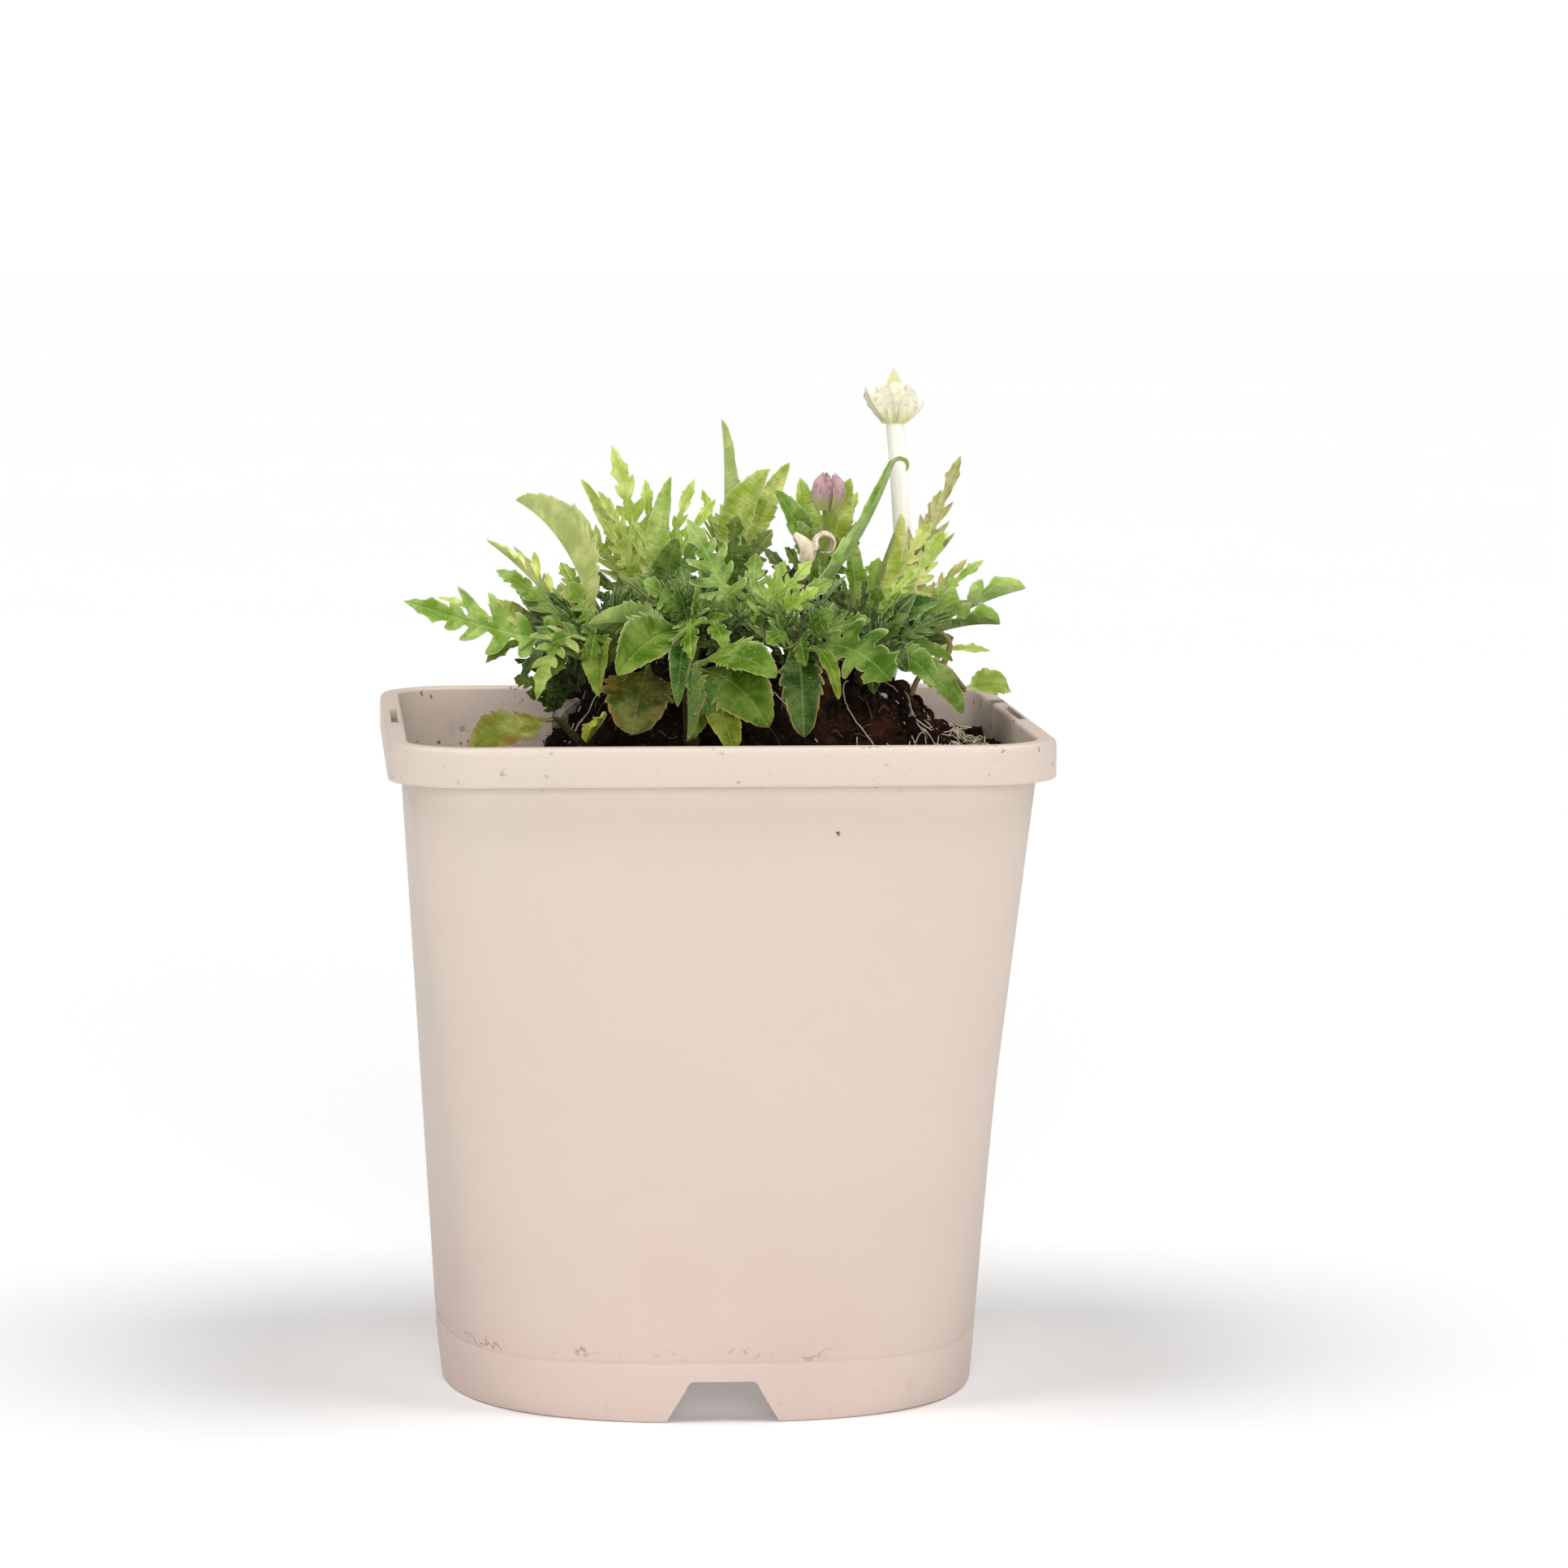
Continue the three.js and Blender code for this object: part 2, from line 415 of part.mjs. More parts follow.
// Shoots at the front and sides. Each is [name, crown, foot, leaves], in millimetres, with heights above
// the rim. A leaf is [kind, tone, tip x, tip y, tip height, width, bow, turn from the front, fold].
const SHOOTS = [
  ['shoot_left', [-22, -8, 14], [-19, -7], [
    ['cut', 'mid', -61, -20, 25, 15, -0.06, 28, 0.15],
    ['cut', 'light', -44, 0, 36, 10, 0.04, 80, 0.7],
    ['toothed', 'light', -37.5, 8, 43.5, 13, 0.28, 95, 1.0],
    ['cut', 'mid', -38, 14, 25, 8, 0.1, 30, 0.1],
    ['cut', 'mid', -45, -14, 12, 8, 0.3, 60, 0.2],
    ['cut', 'dark', -38, -20, 9, 7, 0.42, 60, 0.2],
    ['cut', 'light', -35.5, -31, 6, 10, 0.5, 50, 0.2],
    ['cut', 'mid', -25, -33, 14, 8, 0.3, 40, 0.2],
    ['cut', 'mid', -34, 20, 21, 8, 0.05, 50, 0.2],
    ['cut', 'light', -29, 2, 31, 9, 0.05, 30, 0.2],
    ['cut', 'light', -33, -3, 20, 8, 0.1, 40, 0.2],
    ['cut', 'mid', -42, 10, 29, 9, 0.08, 30, 0.2],
    ['cut', 'mid', -33, -27, 10, 9, 0.3, 40, 0.2],
    ['cut', 'light', -28, -14, 28, 9, 0.08, 20, 0.1],
    ['toothed', 'light', -23.5, -34, 7, 8, 0.38, 40, 0.3],
    ['cut', 'mid', -32, -26, 17, 8, 0.15, 50, 0.2],
  ]],
  ['shoot_left_top', [-10, 10, 17], [-9, 9], [
    ['cut', 'light', -18, 14, 54, 11, 0.05, 10, 0.1],
    ['lance', 'light', -24, 16, 47, 5, 0.05, 30, 0.2],
    ['feather', 'young', -21, 8, 45, 9, 0.1, 40, 0.1],
    ['toothed', 'light', -7, 2, 48, 7, 0.02, 40, 0.6],
    ['feather', 'young', -11, 14, 47, 9, 0.05, 20, 0.1],
    ['feather', 'young', -15, 20, 43, 9, 0.06, 40, 0.1],
    ['feather', 'young', -1, 17, 47, 8, 0.06, 30, 0.1],
    ['feather', 'young', 3, 12, 43, 8, 0.1, 30, 0.1],
    ['feather', 'young', -25, 22, 36, 9, 0.14, 30, 0.1],
    ['feather', 'young', -21, -2, 40, 9, 0.08, 30, 0.1],
    ['toothed', 'mid', -6, -5, 36, 8, 0.05, 15, 0.1],
    ['cut', 'mid', 0, -2, 37, 9, 0.08, 20, 0.1],
    ['feather', 'young', -27, 17, 42, 8, 0.05, 30, 0.1],
  ]],
  ['shoot_front_left', [-4, -18, 18], [-4, -16], [
    ['toothed', 'light', -25.5, -34, 21.5, 9, 0.08, 152, 0.35],
    ['toothed', 'mid', -20, -42, 12, 13, 0.2, 35, 0.5],
    ['cut', 'mid', -6, -46, 15, 11, 0.35, 60, 0.15],
    ['cut', 'mid', 1, -42, 17, 9, 0.34, 60, 0.15],
    ['cut', 'dark', 3, -12, 32, 11, 0.1, 20, 0.1],
    ['cut', 'dark', -6, -14, 31, 9, 0.1, 20, 0.1],
    ['lance', 'light', -4, -32, 28, 4, 0.1, 50, 0.3],
    ['cut', 'mid', -14, -24, 29, 9, 0.14, 30, 0.1],
    ['toothed', 'deep', -9, -50, 6.5, 6, 0.3, 30, 0.3],
    ['cut', 'mid', 2, -36, 23, 9, 0.2, 40, 0.2],
  ]],
  ['shoot_centre', [7, -22, 16], [6, -20], [
    ['cut', 'mid', -5, -20, 41, 12, 0.04, 15, 0.1],
    ['feather', 'young', 19, -28, 33, 9, 0.05, 20, 0.05],
    ['feather', 'young', 20, -32, 28, 8, 0.06, 30, 0.05],
    ['feather', 'young', 20, -31, 22, 8, 0.12, 40, 0.05],
    ['feather', 'young', 14, -26, 33, 8, 0.04, 20, 0.05],
    ['cut', 'mid', 9, -17, 34, 8, 0.04, 10, 0.1],
    ['cut', 'mid', 2, -30, 26, 7, 0.1, 20, 0.1],
    ['lance', 'light', 38, -6, 52.5, 6, -0.22, 85, 0.7],
    ['cut', 'mid', 24, -22, 29, 9, 0.08, 30, 0.1],
  ]],
  ['shoot_centre_back', [6, 18, 21], [6, 16], [
    ['lance', 'light', 6, 26, 58.5, 6, -0.02, 90, 1.1],
    ['toothed', 'light', 14, 14, 49, 12, 0.12, 50, 0.6],
    ['toothed', 'light', 19, 22, 50, 7, 0.04, 30, 0.4],
    ['cut', 'mid', 14, 5, 37, 9, 0.08, 20, 0.1],
    ['cut', 'mid', 7, 6, 40, 9, 0.06, 20, 0.1],
    ['feather', 'young', 2, 32, 44, 8, 0.06, 40, 0.1],
  ]],
  ['shoot_bud', [24, 12, 20], [22, 11], [
    ['toothed', 'mid', 15, 7, 45, 9, 0.16, 44, 0.25],
    ['toothed', 'light', 21, 17, 47, 8, 0.02, 20, 0.25],
    ['toothed', 'light', 31, 16, 47, 8, 0.02, 20, 0.25],
    ['toothed', 'mid', 19, 0, 39, 8, 0.1, 40, 0.2],
    ['cut', 'mid', 33, 8, 39, 8, 0.05, 30, 0.1],
    ['feather', 'young', 33, 21, 44, 8, 0.05, 30, 0.1],
  ]],
  ['shoot_right_centre', [31, -6, 14], [29, -6], [
    ['lance', 'light', 39, -10, 41, 9, 0.06, -60, 0.7],
    ['lance', 'mid', 29, -2, 37, 6, 0.02, 30, 0.4],
    ['feather', 'light', 46, 0, 39, 10, 0.05, 30, 0.2],
    ['toothed', 'dark', 46, -14, 24, 8, 0.12, 50, 0.3],
    ['feather', 'young', 42, -8, 30, 8, 0.08, 30, 0.1],
    ['cut', 'mid', 34, -16, 27, 8, 0.05, 30, 0.1],
    ['cut', 'mid', 35, -3, 32, 9, 0.05, 20, 0.1],
    ['cut', 'dark', 22, -24, 17, 9, 0.2, 30, 0.1],
  ]],
  ['shoot_right', [38, 2, 12], [35, 2], [
    ['feather', 'red', 53, 10, 52, 9, 0.02, 18, 0.1],
    ['feather', 'red', 49, 10, 45, 8, 0.04, 20, 0.1],
    ['cut', 'light', 49, 3, 37, 9, 0.1, 20, 0.1],
    ['scallop', 'mid', 64.4, -6, 26.2, 10, 0.08, 82, 1.0],
    ['scallop', 'mid', 58.6, -12, 19.4, 9, 0.13, 82, 1.0],
    ['feather', 'red', 54, 6, 31, 6, 0.05, 30, 0.1],
    ['cut', 'mid', 51, -6, 24, 8, 0.12, 40, 0.1],
    ['feather', 'young', 51, 15, 36, 8, 0.05, 30, 0.1],
    ['feather', 'red', 57, 3, 31, 7, 0.08, 30, 0.1],
  ]],
  ['shoot_low_right', [32, -18, 13], [30, -17], [
    ['lance', 'mid', 43, -37, 9, 8, 0.26, 40, 0.3],
    ['lance', 'mid', 49.5, -26, 2.5, 8, 0.3, 40, 0.3],
    ['lance', 'dark', 37, -37, 12, 7, 0.24, 40, 0.25],
    ['lance', 'mid', 49, -14, 12, 6, 0.22, 50, 0.3],
    ['cut', 'dark', 30, -42, 8, 8, 0.3, 30, 0.2],
  ]],
  ['shoot_front_right', [16, -30, 15], [14, -27], [
    ['cutfew', 'mid', 33, -46, 11, 15, 0.3, 35, 0.12],
    ['lance', 'light', 22.5, -50, 7.7, 5, 0.4, 50, 0.2],
    ['oval', 'dark', 15, -57, 1.2, 9, 0.3, 10, 0.1],
    ['cut', 'mid', 9, -43, 18, 9, 0.3, 50, 0.1],
    ['cut', 'mid', 16, -48, 14, 8, 0.4, 50, 0.1],
    ['cut', 'mid', 30, -36, 22, 10, 0.16, 30, 0.1],
    ['cut', 'mid', 22, -40, 24, 9, 0.14, 30, 0.1],
  ]],
  ['shoot_front', [-6, -38, 12.5], [-5, -34], [
    ['toothed', 'mid', 10, -52, 12.3, 11, 0.3, 55, 0.2],
    ['toothed', 'mid', 8.4, -55, 2.9, 14, 0.25, 15, 0.25],
    ['toothed', 'mid', -7, -55, 0.2, 10, 0.3, -75, 0.9],
    ['toothed', 'deep', -3, -52, 5, 8, 0.25, 25, 0.2],
    ['oval', 'yellow', 1.6, -56, -1.5, 8, 0.2, 15, 0.2],
  ]],
  ['old_leaf_brown', [-13, -27, 12.6], [-12, -25], [
    ['oval', 'brown', -17.5, -46, 0.7, 15, 0.15, 15, 0.15],
  ]],
  ['old_leaf_left', [-30.5, -28, 2.1], [-26, -26], [
    ['toothed', 'yellow', -48.8, -42, -2.7, 13, 0.1, 55, 0.2],
  ]],
];

// Flower stem as [x, y, height above the rim], its foot first; the purple bud's centre in the same way.
const FLOWER_STEM = [[38, 15, 0], [40.2, 14, 14], [41.5, 12.6, 30], [40.6, 11, 46], [39.4, 10, 59.2]];
const STEM_RADIUS = 1.95;
// Dry remains of an old flower stem, and the thin trailing shoot with its last leaf.
const DRY_STUB = [
  [15, -18, 0], [16, -19, 18], [17, -19.3, 27], [18.7, -20.3, 31.6], [19.2, -20.6, 35.4], [22.4, -20.6, 36.4],
];
const DRY_RADII = [1, 1, 1, 2, 1.6, 1.7];
const TRAILING = [[42, -2, 0], [46, 1, 10], [50.5, 11, 8.2], [55.5, 20, 2.8]];
const TRAILING_RADIUS = 0.8;
const TRAILING_LEAF = [65.5, 26, 2.6];
// The flower head: its cup, then its circles of bracts. A circle is its count and turn, three radii and three
// heights from the cup's middle (foot, bend and tip), the most that a tip is lifted, its breadth and thickness.
const CUP_RADIUS = 4;
const CUP_HALF = 3;
const CUP_RISE = 3.1;
const FLOWER_BRACTS = [
  [9, 0.2, 2.2, 5, 6, -0.4, 0.9, 3, 1.1, 1.5, 0.5],
  [5, 0.7, 1, 2.1, 1.5, 0.5, 3.1, 5.6, 1.6, 1.3, 0.6],
];
const PURPLE_BUD = [26, 9, 45];
const PURPLE_RADIUS = 2.9;
const PURPLE_BRACTS = [6, 0, 1.2, 3.2, 2.7, -0.6, 0.9, 3.2, 0.7, 1.2, 0.4];
const PURPLE_HALF = 2.6;
const BUD_STALK = [[24, 12, 20], [25.2, 10.4, 32], [26, 9, PURPLE_BUD[2] - PURPLE_HALF - GAP]];

// Shoots on the far side: [name, crown, foot, first and last heading]. Their leaves follow one another by the
// golden angle between the two headings, in degrees.
const BACK_SHOOTS = [
  ['shoot_back_left', [-27, 25, 4], [-24, 22], 75, 205],
  ['shoot_back', [2, 35, 6], [2, 32], 40, 140],
  ['shoot_back_right', [30, 29, 4], [27, 26], -25, 105],
];
const BACK_LEAVES = 8;
const GOLDEN = 137.5;
const BACK_KINDS = ['cut', 'toothed', 'cut', 'feather'];
const BACK_TONES = ['mid', 'light', 'dark', 'young'];

function backLeaves(crown, from, to, seed) {
  return Array.from({ length: BACK_LEAVES }, (_, i) => {
    const share = ((i * GOLDEN) % 360) / 360;
    const heading = mix(from, to, share) * Math.PI / 180;
    const rise = (12 + 58 * noise(seed, i + 1)) * Math.PI / 180;
    const length = 22 + 14 * noise(seed + 3, i + 1);
    const out = length * Math.cos(rise);
    const kind = BACK_KINDS[i % BACK_KINDS.length];
    const tip = [crown[0] + out * Math.cos(heading), crown[1] + out * Math.sin(heading),
      crown[2] + length * Math.sin(rise)];
    const reach = Math.max(Math.abs(tip[0]), Math.abs(tip[1])) / 62;
    if (reach > 1) { tip[0] /= reach; tip[1] /= reach; }
    return [kind, BACK_TONES[i % BACK_TONES.length], ...tip, 8 + 3 * noise(seed + 5, i), 0.14, 60, 0.2];
  });
}

function leavesOf(crown, size, leaves, seed) {
  return leaves.map(([kind, , x, y, z, width, bow, turn, fold], i) => {
    const away = new THREE.Vector3(x - crown[0], y - crown[1], z - crown[2]);
    away.z += 1.6 * Math.max(0, bow) * away.length();
    away.setLength(START * size);
    const start = [crown[0] + away.x, crown[1] + away.y, POT_HEIGHT + crown[2] + away.z];
    return leaf(kind, start, [x, y, POT_HEIGHT + z], width, bow, turn, fold, seed * 17 + i);
  });
}

// A stem from its foot in the soil to the crown, as an axis that the hole in the soil follows too.
function stemAxis(crown, foot) {
  const top = new THREE.Vector3(crown[0], crown[1], POT_HEIGHT + crown[2]);
  const ground = new THREE.Vector3(foot[0], foot[1], soilHeight(foot[0], foot[1]));
  const down = ground.clone().sub(top).normalize();
  return { top, ground, down };
}

function stemOf(crown, foot, radius) {
  const { top, ground, down } = stemAxis(crown, foot);
  const low = ground.clone().addScaledVector(down, HOLE_DEPTH - GAP);
  return bar([low.toArray(), ground.toArray(), top.toArray()], [radius, radius, radius * 0.8], 6);
}

function holeOf(crown, foot, radius) {
  const { ground, down } = stemAxis(crown, foot);
  const low = ground.clone().addScaledVector(down, HOLE_DEPTH);
  const high = ground.clone().addScaledVector(down, -8);
  return bar([low.toArray(), high.toArray()], [radius + HOLE_PLAY, radius + HOLE_PLAY], 6);
}

// A bract: a flattened spike with four edges, from its root over its middle to its tip.
function bract(root, middle, tip, broad, thin) {
  const [a, b, c] = [root, middle, tip].map((p) => new THREE.Vector3(...p));
  const along = c.clone().sub(a).normalize();
  const out = new THREE.Vector3(b.x - a.x, b.y - a.y, 0).normalize();
  const wide = out.clone().cross(along).normalize();
  const deep = along.clone().cross(wide);
  const ring = (p, w, d) => [
    p.clone().addScaledVector(wide, w), p.clone().addScaledVector(deep, d),
    p.clone().addScaledVector(wide, -w), p.clone().addScaledVector(deep, -d),
  ].map((v) => v.toArray());
  return skin([ring(a, broad * 0.7, thin), ring(b, broad, thin)], root, tip);
}

function bractCircle([x, y, z], row, seed) {
  const [count, turn, low, middle, out, lowRise, middleRise, rise, lift, broad, thin] = row;
  return Array.from({ length: count }, (_, i) => {
    const a = (i / count) * Math.PI * 2 + turn;
    const at = (radius, height) => [x + radius * Math.cos(a), y + radius * Math.sin(a), z + height];
    const tip = at(out, rise + lift * noise(seed, i));
    return bract(at(low, lowRise), at(middle, middleRise), tip, broad, thin);
  });
}

// Pale closed flower head: a cup, a circle of outer bracts and a tuft of florets in the middle.
function flowerBud([x, y, top]) {
  const centre = [x, y, top + GAP + CUP_RISE];
  const under = new THREE.CylinderGeometry(CUP_RADIUS, CUP_RADIUS, 4, 10).rotateX(Math.PI / 2);
  const cup = ball(centre, CUP_RADIUS, CUP_RADIUS, CUP_HALF, 10, 5)
    .subtract(geometrySolid(under.translate(x, y, top + GAP - 2)));
  const bracts = FLOWER_BRACTS.flatMap((row, i) => bractCircle(centre, row, 5 + 4 * i));
  return bracts.reduce((body, one) => body.add(one), cup);
}

// Small purple bud on the stalk of its shoot.
function purpleBud() {
  const centre = [PURPLE_BUD[0], PURPLE_BUD[1], POT_HEIGHT + PURPLE_BUD[2]];
  const body = ball(centre, PURPLE_RADIUS, PURPLE_RADIUS, PURPLE_HALF, 8, 5);
  return bractCircle(centre, PURPLE_BRACTS, 3).reduce((sum, one) => sum.add(one), body);
}

// Joins the pieces of one shoot, without the small closed voids where leaves cross.
function joined(parts) {
  const shells = parts.reduce((sum, part) => sum.add(part)).decompose();
  return shells.sort((a, b) => b.volume() - a.volume())[0];
}

const group = new THREE.Group();
group.add(meshOf('pot', pot(), material(COLOUR.pot, 0.55)));

let earth = soil();
const allShoots = [
  ...SHOOTS,
  ...BACK_SHOOTS.map(([name, crown, foot, from, to], i) => [
    name, crown, foot, backLeaves(crown, from, to, 31 + i),
  ]),
];
allShoots.forEach(([name, crown, foot, leaves], i) => {
  const radius = leaves.length > 1 ? 2 : 1.4;
  earth = earth.subtract(holeOf(crown, foot, radius));
  const size = leaves.length > 1 ? CROWN_RADIUS : SMALL_CROWN;
  const knob = ball([crown[0], crown[1], POT_HEIGHT + crown[2]], size, size, size * 1.2, 6, 3);
  const parts = [stemOf(crown, foot, radius), knob, ...leavesOf(crown, size, leaves, i + 1)];
  if (name === 'shoot_bud') {
    parts.push(bar(BUD_STALK.map(([x, y, z]) => [x, y, POT_HEIGHT + z]), [1, 0.9, 1.1], 6));
  }
  group.add(meshOf(name, joined(parts), material(COLOUR[leaves[0][1]], 0.6)));
});

// Path of a stem from its foot in the soil, and the plain hole that the foot stands in.
function rooted(path) {
  const [x, y] = path[0];
  const level = soilHeight(x, y);
  return {
    points: [[x, y, level - HOLE_DEPTH + GAP], [x, y, level + 1], ...path.slice(1)
      .map(([px, py, pz]) => [px, py, POT_HEIGHT + pz])],
    hole: (radius) => bar([[x, y, level - HOLE_DEPTH], [x, y, level + 4]],
      [radius + HOLE_PLAY, radius + HOLE_PLAY], 6),
  };
}

// Thick pale flower stem with its bud, and the small purple bud.
const flower = rooted(FLOWER_STEM);
earth = earth.subtract(flower.hole(STEM_RADIUS));
const flowerTop = flower.points[flower.points.length - 1];
const stem = bar(flower.points, flower.points.map((_, i) => STEM_RADIUS - 0.15 + 0.07 * i), 10);
group.add(meshOf('flower_stem', stem, material(COLOUR.stem, 0.5)));
group.add(meshOf('flower_bud', flowerBud(flowerTop), material(COLOUR.bud, 0.6)));
group.add(meshOf('purple_bud', purpleBud(), material(COLOUR.purple, 0.6)));

const dry = rooted(DRY_STUB);
earth = earth.subtract(dry.hole(DRY_RADII[0]));
group.add(meshOf('dry_stub', bar(dry.points, [DRY_RADII[0], ...DRY_RADII], 7), material(COLOUR.dry, 0.8)));

const trailing = rooted(TRAILING);
earth = earth.subtract(trailing.hole(TRAILING_RADIUS));
const trailingEnd = trailing.points[trailing.points.length - 1];
const trailingShoot = joined([
  bar(trailing.points, trailing.points.map(() => TRAILING_RADIUS), 6),
  leaf('oval', [trailingEnd[0] - 0.6, trailingEnd[1] - 1, trailingEnd[2]],
    [TRAILING_LEAF[0], TRAILING_LEAF[1], POT_HEIGHT + TRAILING_LEAF[2]], 6.5, 0.1, 40, 0.2, 900),
]);
group.add(meshOf('trailing_shoot', trailingShoot, material(COLOUR.light, 0.6)));

group.add(meshOf('soil', earth, material(COLOUR.soil, 0.95)));

export default group;
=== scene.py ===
# %% [markdown]
# # A pincushion flower in a square nursery pot
#
# This notebook dresses a packed CAD model of a young scabious plant. The CAD solids stay in charge of size
# and place. Blender gives each of them a finer piece: leaves with lobes, veins and hairs, crumbly soil with
# roots, and a pot with soft edges and traces of soil.
#
# Lengths below are in millimetres, with the middle of the pot's base as the origin, +Z up and the front of
# the pot facing -Y. They become metres only when a mesh is made.

import math
import random

import bmesh
import bpy
import numpy as np
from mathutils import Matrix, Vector
from mathutils import noise as rough_ground


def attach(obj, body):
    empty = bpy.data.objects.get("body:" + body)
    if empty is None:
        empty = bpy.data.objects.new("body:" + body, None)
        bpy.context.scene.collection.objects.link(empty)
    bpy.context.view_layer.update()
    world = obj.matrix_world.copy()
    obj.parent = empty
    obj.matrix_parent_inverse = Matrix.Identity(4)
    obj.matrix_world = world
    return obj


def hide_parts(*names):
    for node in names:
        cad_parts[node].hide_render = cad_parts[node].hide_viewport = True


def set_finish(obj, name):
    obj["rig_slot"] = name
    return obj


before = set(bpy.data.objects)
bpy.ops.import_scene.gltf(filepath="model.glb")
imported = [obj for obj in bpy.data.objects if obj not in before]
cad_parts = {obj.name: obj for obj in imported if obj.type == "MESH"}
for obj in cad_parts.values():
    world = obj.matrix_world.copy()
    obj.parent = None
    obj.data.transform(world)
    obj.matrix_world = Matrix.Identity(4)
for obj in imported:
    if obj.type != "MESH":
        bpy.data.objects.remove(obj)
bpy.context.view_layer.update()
MM = 0.001

# %% [markdown]
# ## Camera
#
# The photograph was taken from about a metre away with a long lens, a little above the rim. The camera
# stands there and looks slightly down. The pot is left of the middle of the picture, which a small lens
# shift gives.

# %% Place the camera
CAMERA_PLACE = (-0.0818, -1.0983, 0.2436)
CAMERA_LOOK = (0.0497, 0.9925, -0.1118)
LENS_MM = 125.3
LENS_SHIFT = 0.135
SENSOR_MM = 36
NEAREST = 0.05

camera_data = bpy.data.cameras.new("camera")
camera_data.lens = LENS_MM
camera_data.sensor_width = SENSOR_MM
camera_data.shift_x = LENS_SHIFT
camera_data.clip_start = NEAREST
camera = bpy.data.objects.new("camera", camera_data)
camera.location = CAMERA_PLACE
camera.rotation_mode = "QUATERNION"
camera.rotation_quaternion = Vector(CAMERA_LOOK).to_track_quat("-Z", "Y")
bpy.context.scene.collection.objects.link(camera)
bpy.context.scene.camera = camera
print("camera at", CAMERA_PLACE, "lens", LENS_MM)

# %% [markdown]
# ## Light
#
# The real picture is bright and even, with a soft grey shadow on the floor at each side of the pot. So the
# two main lights stand high at the left and right, wide enough for soft shadows that end a hand's breadth
# from the pot. A low light from the front fills the pot's face, and its own shadow falls behind the pot.
# Sun lamps do this best here, because they light the whole floor alike, out to the horizon. The world is
# white near the horizon, as a studio sweep is, and dimmer overhead. The standard view transform keeps white
# as white.

# %% Set the lights
SIDE_LIGHT = 1.8
SIDE_HEIGHT = 62
SIDE_FORWARD = 17
SIDE_SOFTNESS = 36
SWEEP_WHITE = 1.06
CEILING_WHITE = 0.05
SWEEP_TOP = 0.06
CEILING_FROM = 0.22
FRONT_LIGHT = 1.68
FRONT_HEIGHT = 12
FRONT_SOFTNESS = 40


def wide_light(name, heading, height, strength, softness):
    """A wide soft light from a heading round the pot, 0 being the front, and a height in degrees."""
    data = bpy.data.lights.new(name, "SUN")
    data.energy = strength
    data.angle = math.radians(softness)
    lamp = bpy.data.objects.new(name, data)
    lamp.rotation_mode = "QUATERNION"
    rise, turn = math.radians(height), math.radians(heading)
    toward = Vector((math.sin(turn) * math.cos(rise), -math.cos(turn) * math.cos(rise), math.sin(rise)))
    lamp.location = toward
    lamp.rotation_quaternion = (-toward).to_track_quat("-Z", "Y")
    bpy.context.scene.collection.objects.link(lamp)


def white_sweep():
    """A world that is white round the horizon and dimmer overhead."""
    world = bpy.data.worlds.new("white sweep")
    world.use_nodes = True
    tree = world.node_tree
    place = tree.nodes.new("ShaderNodeTexCoord")
    parts = tree.nodes.new("ShaderNodeSeparateXYZ")
    fade = tree.nodes.new("ShaderNodeMapRange")
    fade.interpolation_type = "SMOOTHSTEP"
    for key, value in (("From Min", SWEEP_TOP), ("From Max", CEILING_FROM),
                       ("To Min", SWEEP_WHITE), ("To Max", CEILING_WHITE)):
        fade.inputs[key].default_value = value
    tree.links.new(place.outputs["Generated"], parts.inputs[0])
    tree.links.new(parts.outputs["Z"], fade.inputs["Value"])
    tree.links.new(fade.outputs["Result"], tree.nodes["Background"].inputs["Strength"])
    tree.nodes["Background"].inputs["Color"].default_value = (1, 1, 1, 1)
    return world


bpy.context.scene.world = white_sweep()
bpy.context.scene.view_settings.view_transform = "Standard"
wide_light("left light", -90 + SIDE_FORWARD, SIDE_HEIGHT, SIDE_LIGHT, SIDE_SOFTNESS)
wide_light("right light", 90 - SIDE_FORWARD, SIDE_HEIGHT, SIDE_LIGHT, SIDE_SOFTNESS)
wide_light("front light", 0, FRONT_HEIGHT, FRONT_LIGHT, FRONT_SOFTNESS)
print("strength of the lights:", SIDE_LIGHT, "at the sides,", FRONT_LIGHT, "in front")

# %% Light the hollow under the pot
GLOW_HEIGHT = 0.0082
GLOW_SIZE = 0.104
GLOW_POWER = 0.006


def glow_under(height, size, power):
    """The white floor's glow in the hollow under the pot, which shows through the drain notches."""
    data = bpy.data.lights.new("floor glow", "AREA")
    data.shape = "DISK"
    data.size = size
    data.energy = power
    lamp = bpy.data.objects.new("floor glow", data)
    lamp.location = (0, 0, height)
    bpy.context.scene.collection.objects.link(lamp)


glow_under(GLOW_HEIGHT, GLOW_SIZE, GLOW_POWER)

# %% [markdown]
# ## A small language for materials
#
# A procedural material is a sum of masks and noises. Written node by node it is long, so two small classes
# help. `Value` wraps a socket and lets it be added, subtracted and multiplied as in ordinary Python.
# `Finish` makes the material and any other node, with its settings first and its inputs after them.

